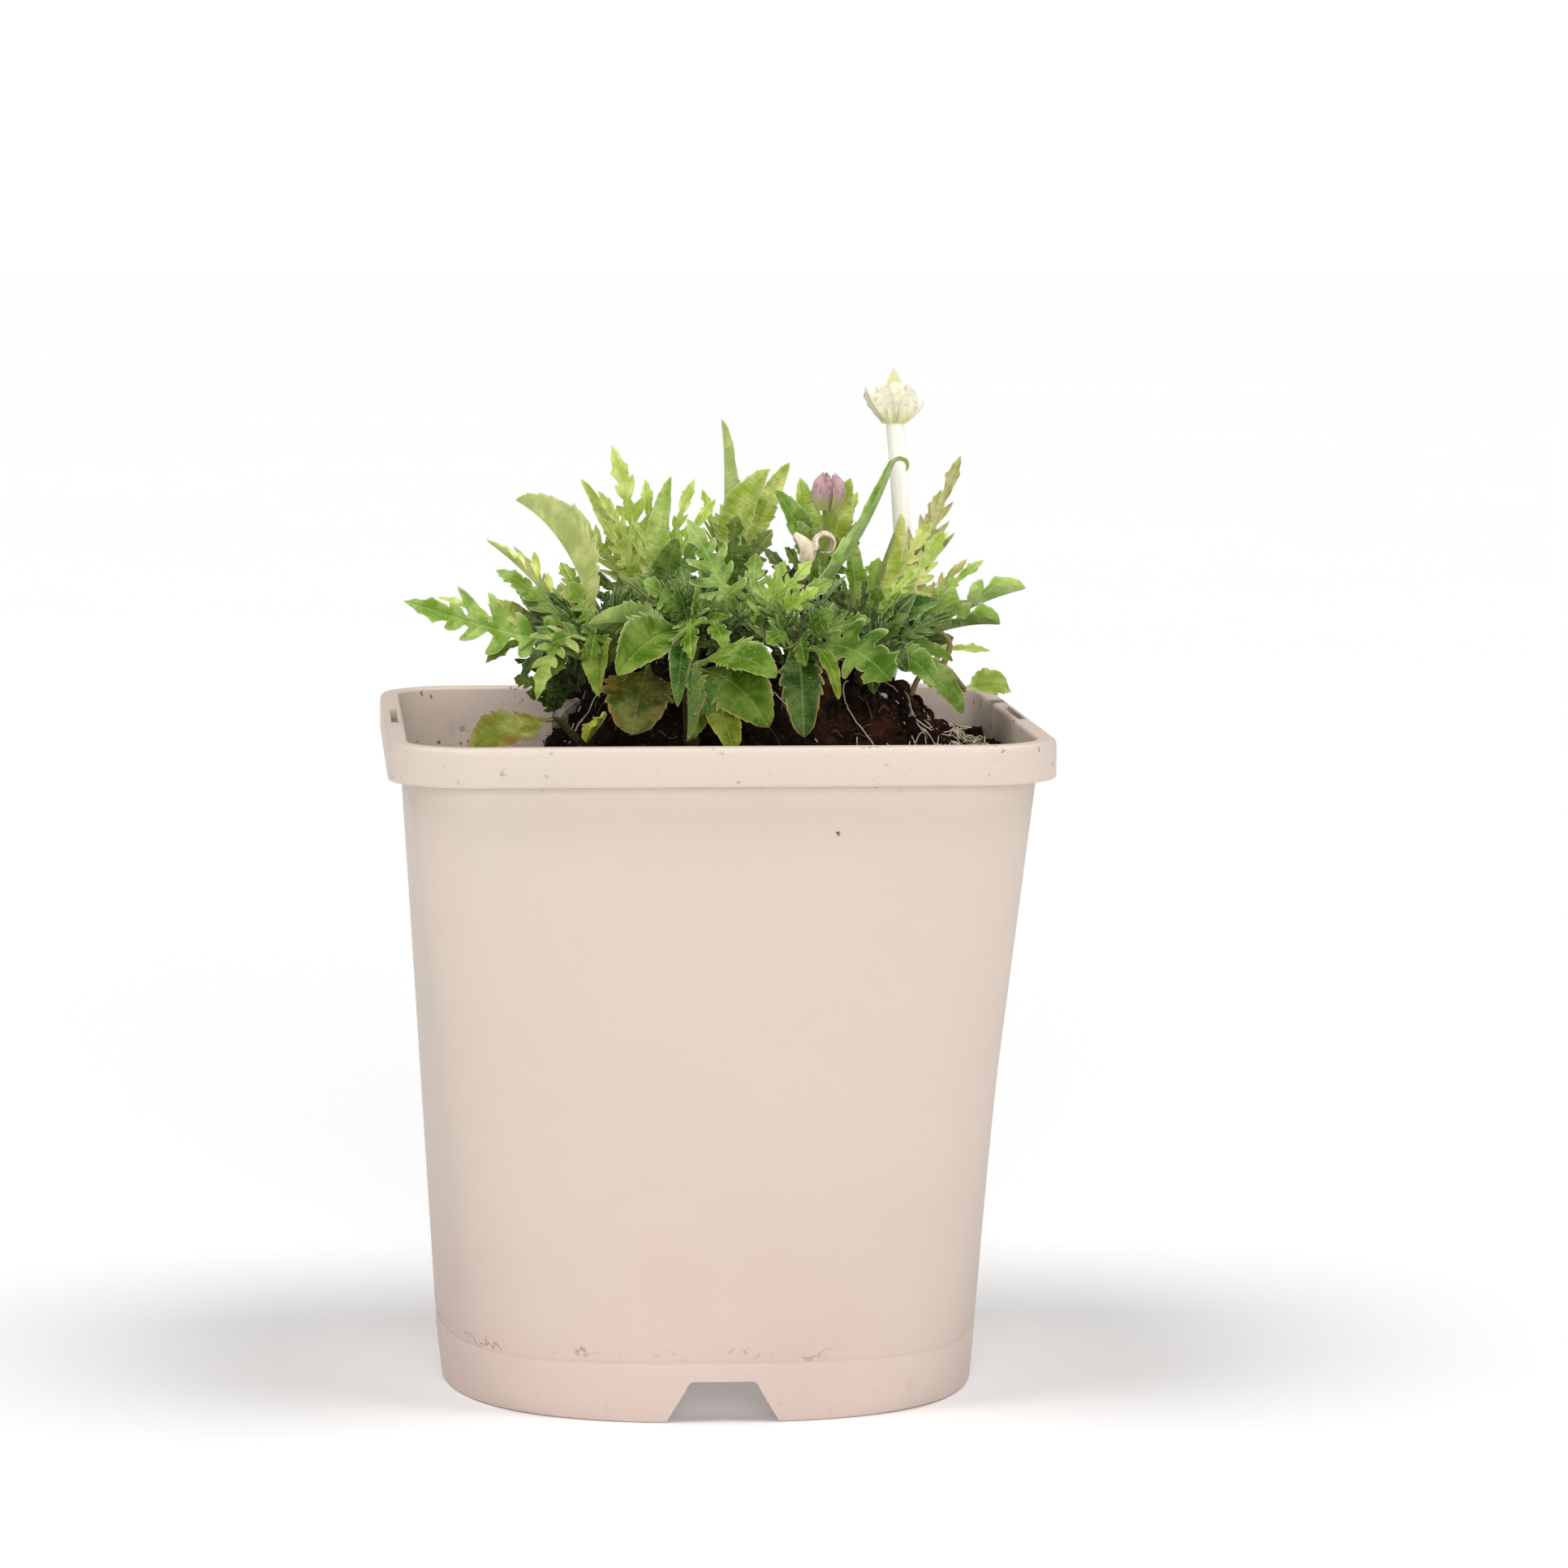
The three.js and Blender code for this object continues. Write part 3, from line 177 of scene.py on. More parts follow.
# %% Wrap a number in a material
class Value:
    """A number in a material that takes part in ordinary sums."""

    def __init__(self, finish, socket):
        self.finish = finish
        self.socket = socket

    def math(self, operation, a, b=0.0):
        return self.finish.node("ShaderNodeMath", {"operation": operation}, {0: a, 1: b})

    def __add__(self, other):
        return self.math("ADD", self, other)

    def __radd__(self, other):
        return self.math("ADD", other, self)

    def __sub__(self, other):
        return self.math("SUBTRACT", self, other)

    def __rsub__(self, other):
        return self.math("SUBTRACT", other, self)

    def __mul__(self, other):
        return self.math("MULTIPLY", self, other)

    def __rmul__(self, other):
        return self.math("MULTIPLY", other, self)

    def size(self):
        return self.math("ABSOLUTE", self)

    def fraction(self):
        return self.math("FRACT", self)

    def least(self, other):
        return self.math("MINIMUM", self, other)

    def most(self, other):
        return self.math("MAXIMUM", self, other)

    def step(self, low, high):
        """0 below low, 1 above high and smooth between them; low may be the larger one."""
        return self.finish.node(
            "ShaderNodeMapRange", {"interpolation_type": "SMOOTHSTEP"},
            {"Value": self, "From Min": low, "From Max": high, "To Min": 0.0, "To Max": 1.0})


print("a Value can be asked for:", [name for name in vars(Value) if not name.startswith("_")])

# %% Define a finish
SPECK_WOBBLE_SCALE = 1.7
SPECK_WOBBLE = 1.3
SPECK_SOFTNESS = 0.25


def rgb(red, green, blue):
    """A colour as seen on a screen, 0 to 255, in Blender's linear light."""
    def linear(c):
        c /= 255
        return c / 12.92 if c <= 0.04045 else ((c + 0.055) / 1.055) ** 2.4
    return (linear(red), linear(green), linear(blue), 1.0)


class Finish:
    """A material with one principled shader."""

    def __init__(self, name, roughness=0.5, **fixed):
        self.material = bpy.data.materials.new(name)
        self.material.use_nodes = True
        self.tree = self.material.node_tree
        self.shader = self.tree.nodes["Principled BSDF"]
        self.shader.inputs["Roughness"].default_value = roughness
        for key, value in fixed.items():
            self.shader.inputs[key.replace("_", " ")].default_value = value

    def node(self, kind, settings=None, inputs=None, output=0):
        made = self.tree.nodes.new(kind)
        for key, value in (settings or {}).items():
            setattr(made, key, value)
        for key, value in (inputs or {}).items():
            self.set(made.inputs[key], value)
        return Value(self, made.outputs[output])

    def set(self, socket, value):
        if isinstance(value, Value):
            self.tree.links.new(value.socket, socket)
        else:
            socket.default_value = value

    def vector(self, operation, *values):
        return self.node("ShaderNodeVectorMath", {"operation": operation}, dict(enumerate(values)))

    def place(self, stretch=(1.0, 1.0, 1.0)):
        """Where a point is on the object, in millimetres, times stretch."""
        raw = self.node("ShaderNodeTexCoord", output="Object")
        return self.vector("MULTIPLY", raw, tuple(share / MM for share in stretch))

    def noise(self, size, detail=3.0, stretch=(1.0, 1.0, 1.0), shift=0.0, rough=0.55):
        """Cloudy noise round 0.5 whose patches are about size millimetres across."""
        at = self.vector("ADD", self.place(stretch), (shift,) * 3)
        return self.node("ShaderNodeTexNoise", None,
                         {"Vector": at, "Scale": 1 / size, "Detail": detail, "Roughness": rough})

    def split(self, vector):
        made = self.tree.nodes.new("ShaderNodeSeparateXYZ")
        self.set(made.inputs[0], vector)
        return [Value(self, socket) for socket in made.outputs]

    def blend(self, mask, first, second):
        """first where the mask is 0 and second where it is 1, each a node's colour or one as on a screen."""
        first, second = (rgb(*c) if isinstance(c, tuple) else c for c in (first, second))
        return self.node("ShaderNodeMix", {"data_type": "RGBA"}, {0: mask, 6: first, 7: second}, output=2)

    def specks(self, spacing, radius, share, shift=0.0):
        """A mask of small ragged dots, one to each cell of the spacing; only a share of them is there."""
        wobble = self.node("ShaderNodeTexNoise", None,
                           {"Vector": self.place(), "Scale": SPECK_WOBBLE_SCALE, "Detail": 2.0}, output=1)
        ragged = self.vector("MULTIPLY_ADD", wobble, (SPECK_WOBBLE,) * 3, self.place())
        cells = self.tree.nodes.new("ShaderNodeTexVoronoi")
        self.set(cells.inputs["Vector"], self.vector("ADD", ragged, (shift,) * 3))
        cells.inputs["Scale"].default_value = 1 / spacing
        distance = Value(self, cells.outputs["Distance"])
        chance = self.split(Value(self, cells.outputs["Color"]))
        reach = chance[1] * (radius / spacing)
        there = chance[0].step(1 - share, 1 - share + 0.02)
        return (reach - distance).step(0.0, SPECK_SOFTNESS * radius / spacing) * there

    def colour(self, value):
        self.set(self.shader.inputs["Base Color"], value)

    def roughness(self, value):
        self.set(self.shader.inputs["Roughness"], value)

    def bump(self, height, depth):
        """Relief from a mask, depth in millimetres."""
        relief = self.node("ShaderNodeBump", None,
                           {"Height": height, "Distance": depth * MM, "Strength": 1.0})
        self.set(self.shader.inputs["Normal"], relief)


print("material helpers ready")

# %% [markdown]
# ## A small language for meshes
#
# Stems, petioles and roots are all tubes along a path, and pots and soil are rings joined by a skin. These
# helpers collect points and faces in millimetres and turn them into one object at the origin. Each point
# may carry a colour and a place on the leaf, which the materials read as attributes.

# %% Define sums that many pieces use
def noise(a, b):
    """A fixed draw between 0 and 1, the same one as in the CAD source."""
    s = math.sin(a * 12.9898 + b * 78.233) * 43758.5453
    return s - math.floor(s)


def mix(a, b, t):
    return a + (b - a) * t


def smooth(value):
    t = min(1.0, max(0.0, value))
    return t * t * (3 - 2 * t)


def unit(vector):
    return vector / np.linalg.norm(vector)


print("a fixed draw:", round(noise(1, 2), 3))

# %% Collect points and faces into a piece
class Shell:
    """Points and faces that will become one piece."""

    def __init__(self):
        self.points, self.faces, self.slots = [], [], []
        self.tones, self.places, self.unders = [], [], []

    def add(self, points, faces, slot=0, tone=(1, 1, 1), places=None, unders=None):
        start = len(self.points)
        count = len(points)
        self.points.extend(points)
        self.faces.extend([tuple(start + i for i in face) for face in faces])
        self.slots.extend([slot] * len(faces))
        self.tones.extend([(*tone, 1.0)] * count)
        self.places.extend(places if places is not None else [(0.5, 1.0, 0.5)] * count)
        self.unders.extend(unders if unders is not None else [0.0] * count)

    def piece(self, name, materials, crease=40):
        mesh = bpy.data.meshes.new(name)
        mesh.from_pydata([tuple(c * MM for c in p) for p in self.points], [], self.faces)
        for material in materials:
            mesh.materials.append(material)
        mesh.polygons.foreach_set("material_index", self.slots)
        for label, kind, key, values in (("tone", "FLOAT_COLOR", "color", self.tones),
                                         ("leaf_place", "FLOAT_VECTOR", "vector", self.places),
                                         ("under", "FLOAT", "value", self.unders)):
            attribute = mesh.attributes.new(label, kind, "POINT")
            attribute.data.foreach_set(key, np.array(values, np.float32).ravel())
        mesh.shade_smooth()
        mesh.set_sharp_from_angle(angle=math.radians(crease))
        mesh.update()
        piece = bpy.data.objects.new(name, mesh)
        bpy.context.scene.collection.objects.link(piece)
        return piece


def settle(piece):
    """Makes what the modifiers show the piece's own plain mesh."""
    graph = bpy.context.evaluated_depsgraph_get()
    shown = piece.evaluated_get(graph)
    mesh = bpy.data.meshes.new_from_object(shown, preserve_all_data_layers=True, depsgraph=graph)
    piece.modifiers.clear()
    piece.data = mesh
    return piece


print("a Shell collects:", list(vars(Shell())))

# %% Define paths and tubes
TUBE_SIDE = (0.13, 1.0, 0.07)


def smooth_path(points, steps):
    """A curve through the points, with steps short pieces between each two."""
    p = np.array(points, float)
    p = np.vstack([2 * p[0] - p[1], p, 2 * p[-1] - p[-2]])
    path = []
    for i in range(1, len(p) - 2):
        a, b, c, d = p[i - 1], p[i], p[i + 1], p[i + 2]
        for k in range(steps):
            t = k / steps
            path.append(0.5 * (2 * b + (c - a) * t + (2 * a - 5 * b + 4 * c - d) * t * t
                               + (3 * b - 3 * c + d - a) * t ** 3))
    path.append(p[-2])
    return np.array(path)


def spread(values, count):
    """Numbers along a path, read between the given ones."""
    return np.interp(np.linspace(0, 1, count), np.linspace(0, 1, len(values)), values)


def tube(path, radii, sides, ribs=0, rib_depth=0.0):
    """Points and faces of a closed round bar along the path, with shallow ribs along it if asked."""
    path = np.array(path, float)
    radii = spread(radii, len(path)) if len(radii) != len(path) else np.array(radii, float)
    side = unit(np.array(TUBE_SIDE))
    points, faces = [], []
    for i, centre in enumerate(path):
        along = unit(path[min(i + 1, len(path) - 1)] - path[max(i - 1, 0)])
        u = unit(side - along * side.dot(along))
        v = np.cross(along, u)
        side = u
        for k in range(sides):
            turn = 2 * math.pi * k / sides
            reach = radii[i] * (1 + rib_depth * math.cos(ribs * turn))
            points.append(tuple(centre + reach * (math.cos(turn) * u + math.sin(turn) * v)))
    for i in range(len(path) - 1):
        for k in range(sides):
            j = (k + 1) % sides
            faces.append((i * sides + k, i * sides + j, (i + 1) * sides + j, (i + 1) * sides + k))
    last = (len(path) - 1) * sides
    faces.append(tuple(reversed(range(sides))))
    faces.append(tuple(last + k for k in range(sides)))
    return points, faces


print("faces of a short tube:", len(tube([(0, 0, 0), (0, 0, 10)], [1.0, 1.0], 8)[1]))

# %% Keep a finished piece
made = []


def keep(piece, slot, *nodes):
    """Every finished piece rides on the plant's one body, has a slot, and stands for its CAD nodes."""
    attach(piece, "root")
    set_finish(piece, slot)
    if nodes:
        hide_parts(*nodes)
    made.append(piece)
    print(piece.name, "faces", len(piece.data.polygons))


print("pieces kept so far:", len(made))

# %% [markdown]
# ## Floor
#
# The real one is a seamless white sweep. A large plain sheet under the pot is enough: with even light it
# burns out to white, except where the pot shades it.

# %% Lay the floor
FLOOR_HALF = 12.0


def floor_finish():
    finish = Finish("studio floor", roughness=0.7)
    finish.colour(finish.blend(finish.noise(900, 2.0), (242, 242, 242), (245, 245, 245)))
    return finish.material


floor_mesh = bpy.data.meshes.new("floor")
floor_corners = [(x * FLOOR_HALF, y * FLOOR_HALF, 0) for x, y in ((-1, -1), (1, -1), (1, 1), (-1, 1))]
floor_mesh.from_pydata(floor_corners, [], [(0, 1, 2, 3)])
floor_mesh.materials.append(floor_finish())
floor = bpy.data.objects.new("floor", floor_mesh)
bpy.context.scene.collection.objects.link(floor)
print("floor laid")

# %% [markdown]
# ## The pot's plastic
#
# Injection-moulded polypropylene in a pale taupe. It is matt, slightly cloudy, and has been on a potting
# bench: brown specks, a few smears, and scuffs along the moulding line above the foot. The clouds are two
# wide noises, the specks come from cells with one ragged dot each, and the scuffs are a stretched noise
# held to the height of the moulding line.

# %% Mix the pot's plastic
SCUFF_HEIGHT = 13.5
RIM_LEVELS = (124.0, 128.0)
SOILED_LEVELS = (132.0, 118.0)


def pot_finish(name, soiled):
    finish = Finish(name, roughness=0.5)
    height = finish.split(finish.place())[2]
    cloud = finish.noise(34, 3.0).step(0.35, 0.65)
    base = finish.blend(cloud, (207, 190, 178), (203, 190, 176))
    pink = finish.noise(60, 2.0, shift=40.0).step(0.35, 0.7) * 0.5 + 0.5
    base = finish.blend(pink * height.step(118.0, 0.0), base, (197, 174, 166))
    grain = finish.noise(1.1, 2.0, stretch=(0.25, 0.25, 1.0))
    base = finish.blend(grain.step(0.3, 0.7) * 0.10, base, (200, 183, 168))
    wobble = (finish.noise(2.6, 4.0, shift=9.0) - 0.5) * 9.0
    scuff_places = finish.noise(15, 3.0, shift=31.0).step(0.52, 0.58)
    scuffs = (1 - (height - SCUFF_HEIGHT + wobble).size().step(0.1, 0.5)) * scuff_places
    low_marks = height.step(11.0, 2.0) * finish.noise(4, 5.0, shift=21.0).step(0.62, 0.74) * 0.6
    base = finish.blend((scuffs * 1.3 + low_marks * 0.6).least(1.0) * 0.6, base, (150, 112, 84))
    rim = height.step(*RIM_LEVELS)
    few = finish.specks(11, 1.1, 0.16)
    fine_places = finish.noise(14, 2.0, shift=12.0).step(0.42, 0.56)
    fine = finish.specks(1.5, 0.38, 0.4, shift=5.0) * rim * fine_places * 0.8
    smear = finish.noise(3.0, 5.0, stretch=(1.0, 1.0, 1.6), shift=3.0).step(0.66, 0.75) * rim * 0.5
    dirt = few.most(fine).most(smear)
    if soiled:
        low = height.step(*SOILED_LEVELS)
        many = finish.specks(1.7, 0.75, 0.6, shift=2.0) * finish.noise(11, 3.0, shift=7.0).step(0.44, 0.56)
        film = finish.noise(6, 5.0, shift=13.0).step(0.45, 0.75) * low
        dirt = dirt.most(many).most(film * 0.75)
        base = finish.blend(0.45, base, (214, 192, 178))
    base = finish.blend(dirt * 0.85, base, (84, 62, 48))
    finish.colour(base)
    finish.roughness(0.46 + finish.noise(5, 3.0, shift=17.0) * 0.12 + dirt * 0.3)
    finish.bump(finish.noise(0.7, 2.0) * 0.6 + dirt * 1.5, 0.05)
    return finish.material


pot_plastic = pot_finish("pot plastic", False)
pot_inside = pot_finish("pot plastic inside", True)
print("pot finishes:", pot_plastic.name, "and", pot_inside.name)

# %% [markdown]
# ## The pot
#
# A square pot moulded in one piece. Its section is a rounded square at the rim and a softer, rounder one at
# the foot. It could be a subdivided cube, but the section is a rule, so the pot is lofted: rings of points
# follow the section at each height, and the skin between them turns over the rim and down the inside. The
# notches, the drain holes and the label slots are cut out with booleans, as a moulder's core pins would.

# %% Work out the pot's section
POT_HEIGHT = 134.0
RIM_HALF = 65.0
RIM_RADIUS = 17.0
RIM_BAND = 7.6
SKIRT = 1.3
FLANGE_INNER = 61.1
BODY_TOP_HALF = 62.1
BODY_BASE_HALF = 54.1
BASE_EXPONENT = 2.5
SQUARING = 0.65
BODY_CORNER = 2.5
FLANGE_CORNER = 3.9
WALL = 1.2
FOOT_WALL = 2.2
FLOOR_TOP = 10.0
FLOOR_UNDER = 8.5
MOULD_LINE = 12.0
WALL_LEVELS = [FLOOR_TOP, 40, 80, 112, POT_HEIGHT - 0.6]
FLAT_STEPS = 22
CORNER_STEPS = 20


def section_angles(flat_steps, corner_steps):
    """Polar angles round the pot, closer together at the corners."""
    flat = RIM_HALF - RIM_RADIUS
    start = math.atan2(flat, RIM_HALF)
    local = [-start + 2 * start * k / flat_steps for k in range(flat_steps + 1)]
    for k in range(1, corner_steps):
        turn = k / corner_steps * math.pi / 2
        local.append(math.atan2(flat + RIM_RADIUS * math.sin(turn), flat + RIM_RADIUS * math.cos(turn)))
    return [a + quarter * math.pi / 2 for quarter in range(4) for a in local]


def square_reach(half, radius, angle):
    """How far a square with rounded corners reaches at an angle."""
    c, s = abs(math.cos(angle)), abs(math.sin(angle))
    flat = half - radius
    if s * half <= c * flat:
        return half / c
    if c * half <= s * flat:
        return half / s
    along = flat * (c + s)
    return along + math.sqrt(max(0.0, along * along - 2 * flat * flat + radius * radius))


def body_reach(z, angle, inset):
    """How far the pot's body reaches: soft and round at the foot, square under the rim."""
    t = min(1.0, max(0.0, z / POT_HEIGHT))
    half = mix(BODY_BASE_HALF, BODY_TOP_HALF, t) - inset
    square = square_reach(half, RIM_RADIUS - BODY_CORNER - inset, angle)
    c, s = abs(math.cos(angle)), abs(math.sin(angle))
    soft = half / (c ** BASE_EXPONENT + s ** BASE_EXPONENT) ** (1 / BASE_EXPONENT)
    return mix(soft, square, t ** SQUARING)


def inside_reach(z, angle):
    """How far the inside of the wall reaches, straight from one of the CAD's levels to the next."""
    def level(k):
        if k < len(WALL_LEVELS) - 1:
            return body_reach(WALL_LEVELS[k], angle, WALL)
        return square_reach(FLANGE_INNER, RIM_RADIUS - FLANGE_CORNER, angle)

    k = 0
    while k < len(WALL_LEVELS) - 2 and z > WALL_LEVELS[k + 1]:
        k += 1
    t = (z - WALL_LEVELS[k]) / (WALL_LEVELS[k + 1] - WALL_LEVELS[k])
    return mix(level(k), level(k + 1), t)


ANGLES = section_angles(FLAT_STEPS, CORNER_STEPS)
print("points round the pot:", len(ANGLES))

# %% Loft the pot's skin
def ring_of(reach, z):
    return [(reach(a) * math.cos(a), reach(a) * math.sin(a), z) for a in ANGLES]


def body_ring(z, inset=0.0):
    return ring_of(lambda a: body_reach(z, a, inset), z)


def square_ring(half, z):
    return ring_of(lambda a: square_reach(half, RIM_RADIUS - (RIM_HALF - half), a), z)


def lofted(rings, cap_first, cap_last):
    """A closed skin over rings that all have the same number of points."""
    count = len(rings[0])
    points = [p for ring in rings for p in ring] + [cap_first, cap_last]
    faces = []
    for r in range(len(rings) - 1):
        for i in range(count):
            j = (i + 1) % count
            faces.append((r * count + i, r * count + j, (r + 1) * count + j, (r + 1) * count + i))
    first, last, end = len(points) - 2, len(points) - 1, (len(rings) - 1) * count
    for i in range(count):
        j = (i + 1) % count
        faces.append((j, i, first))
        faces.append((end + i, end + j, last))
    return points, faces


print("half width of the foot:", round(body_reach(0.0, 0.0, 0.0), 1), "mm")

# %% Follow the section from the floor's underside over the rim and down the inside
CRISP_ANGLE = 38
BAND_FOOT = POT_HEIGHT - RIM_BAND
FOOT_PROFILE = [(FLOOR_UNDER, FOOT_WALL - 0.4), (0.4, FOOT_WALL - 0.1), (0.0, FOOT_WALL + 0.1),
                (0.0, 0.55), (0.12, 0.2), (0.55, 0.03), (4, 0), (8, 0)]
LINE_PROFILE = [(-0.7, 0), (-0.35, 0.06), (-0.1, 0.22), (0.15, 0.25), (0.5, 0.08), (1.0, 0)]
WALL_HEIGHTS = [18, 25, 32, 40, 50, 60, 70, 80, 90, 101, 112, 119, 126, 130, POT_HEIGHT - 1.75]
RIM_PROFILE = [
    (RIM_HALF - SKIRT, POT_HEIGHT - 1.9), (RIM_HALF - SKIRT, BAND_FOOT + 0.1),
    (RIM_HALF - SKIRT + 0.2, BAND_FOOT), (RIM_HALF - 0.25, BAND_FOOT),
    (RIM_HALF - 0.05, BAND_FOOT + 0.2), (RIM_HALF, BAND_FOOT + 0.6),
    (RIM_HALF, POT_HEIGHT - 4), (RIM_HALF, POT_HEIGHT - 1.5), (RIM_HALF - 0.06, POT_HEIGHT - 0.9),
    (RIM_HALF - 0.25, POT_HEIGHT - 0.4), (RIM_HALF - 0.6, POT_HEIGHT - 0.08), (RIM_HALF - 1.0, POT_HEIGHT),
    (FLANGE_INNER + 0.7, POT_HEIGHT), (FLANGE_INNER + 0.35, POT_HEIGHT - 0.08),
    (FLANGE_INNER + 0.08, POT_HEIGHT - 0.35),
]
INSIDE_HEIGHTS = [133.2, 130, 126, 119, 112, 80, 40, FLOOR_TOP]


def pot_rings():
    rings = [body_ring(z, inset) for z, inset in FOOT_PROFILE]
    rings += [body_ring(MOULD_LINE + z, inset) for z, inset in LINE_PROFILE]
    rings += [body_ring(z) for z in WALL_HEIGHTS]
    rings += [square_ring(half, z) for half, z in RIM_PROFILE]
    return rings + [ring_of(lambda a, z=z: inside_reach(z, a), z) for z in INSIDE_HEIGHTS]


pot_shell = Shell()
pot_shell.add(*lofted(pot_rings(), (0, 0, FLOOR_UNDER), (0, 0, FLOOR_TOP)))
pot = pot_shell.piece("nursery_pot", [pot_plastic, pot_inside], crease=CRISP_ANGLE)
print("pot skin faces:", len(pot.data.polygons))

# %% Shape the pins that cut
def prism(outline, start, end, turn):
    """A bar whose section is given as (across, height), along Y and then turned about the pot's axis."""
    count = len(outline)
    c, s = math.cos(turn), math.sin(turn)
    points = [(u * c - y * s, u * s + y * c, z) for y in (start, end) for u, z in outline]
    faces = [(i, (i + 1) % count, count + (i + 1) % count, count + i) for i in range(count)]
    faces += [tuple(reversed(range(count))), tuple(range(count, 2 * count))]
    return points, faces


def cutter(points, faces):
    """A closed tool for one boolean cut, with its faces turned outwards."""
    shell = Shell()
    shell.add(points, faces)
    tool = shell.piece("core pin", [pot_plastic])
    work = bmesh.new()
    work.from_mesh(tool.data)
    bmesh.ops.recalc_face_normals(work, faces=work.faces)
    work.to_mesh(tool.data)
    work.free()
    return tool


def round_outline(radius, count):
    return [(radius * math.cos(2 * math.pi * k / count), radius * math.sin(2 * math.pi * k / count))
            for k in range(count)]


print("corners of a square pin:", len(prism(round_outline(1.0, 4), -1.0, 1.0, 0.0)[0]))

# %% Cut the notches, the drain holes and the label slots
NOTCH_BOTTOM = 22.0
NOTCH_TOP = 12.5
NOTCH_HEIGHT = 8.3
NOTCH_CORNER = 1.5
NOTCH_REACH = 70
DRAIN_RADIUS = 4.0
DRAIN_RING = 30.0
DRAIN_CUT = (6.0, 12.0)
DRAIN_SIDES = 28
SLOT_LENGTH = 27.0
SLOT_WIDTH = 1.4
SLOT_INSET = 0.75
SLOT_DEPTH = 5


def notch_outline():
    """The notch in the foot, wider below and with rounded upper corners."""
    bottom, top, low = NOTCH_BOTTOM / 2, NOTCH_TOP / 2, NOTCH_HEIGHT - NOTCH_CORNER
    right = [(bottom + 1.2, -2.0), (bottom - 0.1, 0.5), (top + 0.95, low)]
    for k in range(1, 6):
        turn = k / 5 * math.pi / 2
        right.append((top + 0.85 - NOTCH_CORNER + NOTCH_CORNER * math.cos(turn),
                      low + NOTCH_CORNER * math.sin(turn)))
    return right + [(-u, z) for u, z in reversed(right)]


cutters = [cutter(*prism(notch_outline(), -NOTCH_REACH, NOTCH_REACH, turn)) for turn in (0.0, math.pi / 2)]
for quarter in range(4):
    turn = (quarter + 0.5) * math.pi / 2
    x, y = DRAIN_RING * math.cos(turn), DRAIN_RING * math.sin(turn)
    hole = [[(x + u, y + v, z) for u, v in round_outline(DRAIN_RADIUS, DRAIN_SIDES)] for z in DRAIN_CUT]
    cutters.append(cutter(*lofted(hole, (x, y, DRAIN_CUT[0]), (x, y, DRAIN_CUT[1]))))
for side in (-1, 1):
    x = side * (RIM_HALF - SKIRT - SLOT_INSET)
    half, low, high = SLOT_WIDTH / 2, POT_HEIGHT - SLOT_DEPTH, POT_HEIGHT + 1
    slit = [(x - half, low), (x + half, low), (x + half, high), (x - half, high)]
    cutters.append(cutter(*prism(slit, -SLOT_LENGTH / 2, SLOT_LENGTH / 2, 0.0)))
for tool in cutters:
    cut = pot.modifiers.new("cut", "BOOLEAN")
    cut.operation = "DIFFERENCE"
    cut.solver = "EXACT"
    cut.object = tool
settle(pot)
for tool in cutters:
    bpy.data.objects.remove(tool)
print("pot faces after cutting:", len(pot.data.polygons))

# %% [markdown]
# The inside of the wall carries traces of soil and gets the second plastic. A face belongs to the inside
# when it lies above the floor and looks towards the pot's axis. Edges sharper than 38 degrees stay crisp.

# %% Share out the two plastics
INSIDE_LOWEST = 0.0105
INSIDE_REACH = 0.0615
INWARD = -0.001


def share_plastics(piece):
    mesh = piece.data
    inside = 0
    for face in mesh.polygons:
        x, y, z = face.center
        inward = face.normal.x * x + face.normal.y * y < INWARD
        face.material_index = int(z > INSIDE_LOWEST and inward and max(abs(x), abs(y)) < INSIDE_REACH)
        inside += face.material_index
    mesh.shade_smooth()
    mesh.set_sharp_from_angle(angle=math.radians(CRISP_ANGLE))
    return inside


print("faces with soil traces:", share_plastics(pot))
keep(pot, "pot_plastic", "pot")

# %% [markdown]
# ## Recipes in Geometry Nodes
#
# Crumbs, hairs and roots are the same small shape many times over, so Geometry Nodes make them. A `Recipe`
# is a node tree with named inputs. Three recipes serve the whole plant: one scatters small grains over a
# surface, one sets hairs on it, and one turns bare lines into threads. All end in plain geometry with a
# material, because instances don't export.

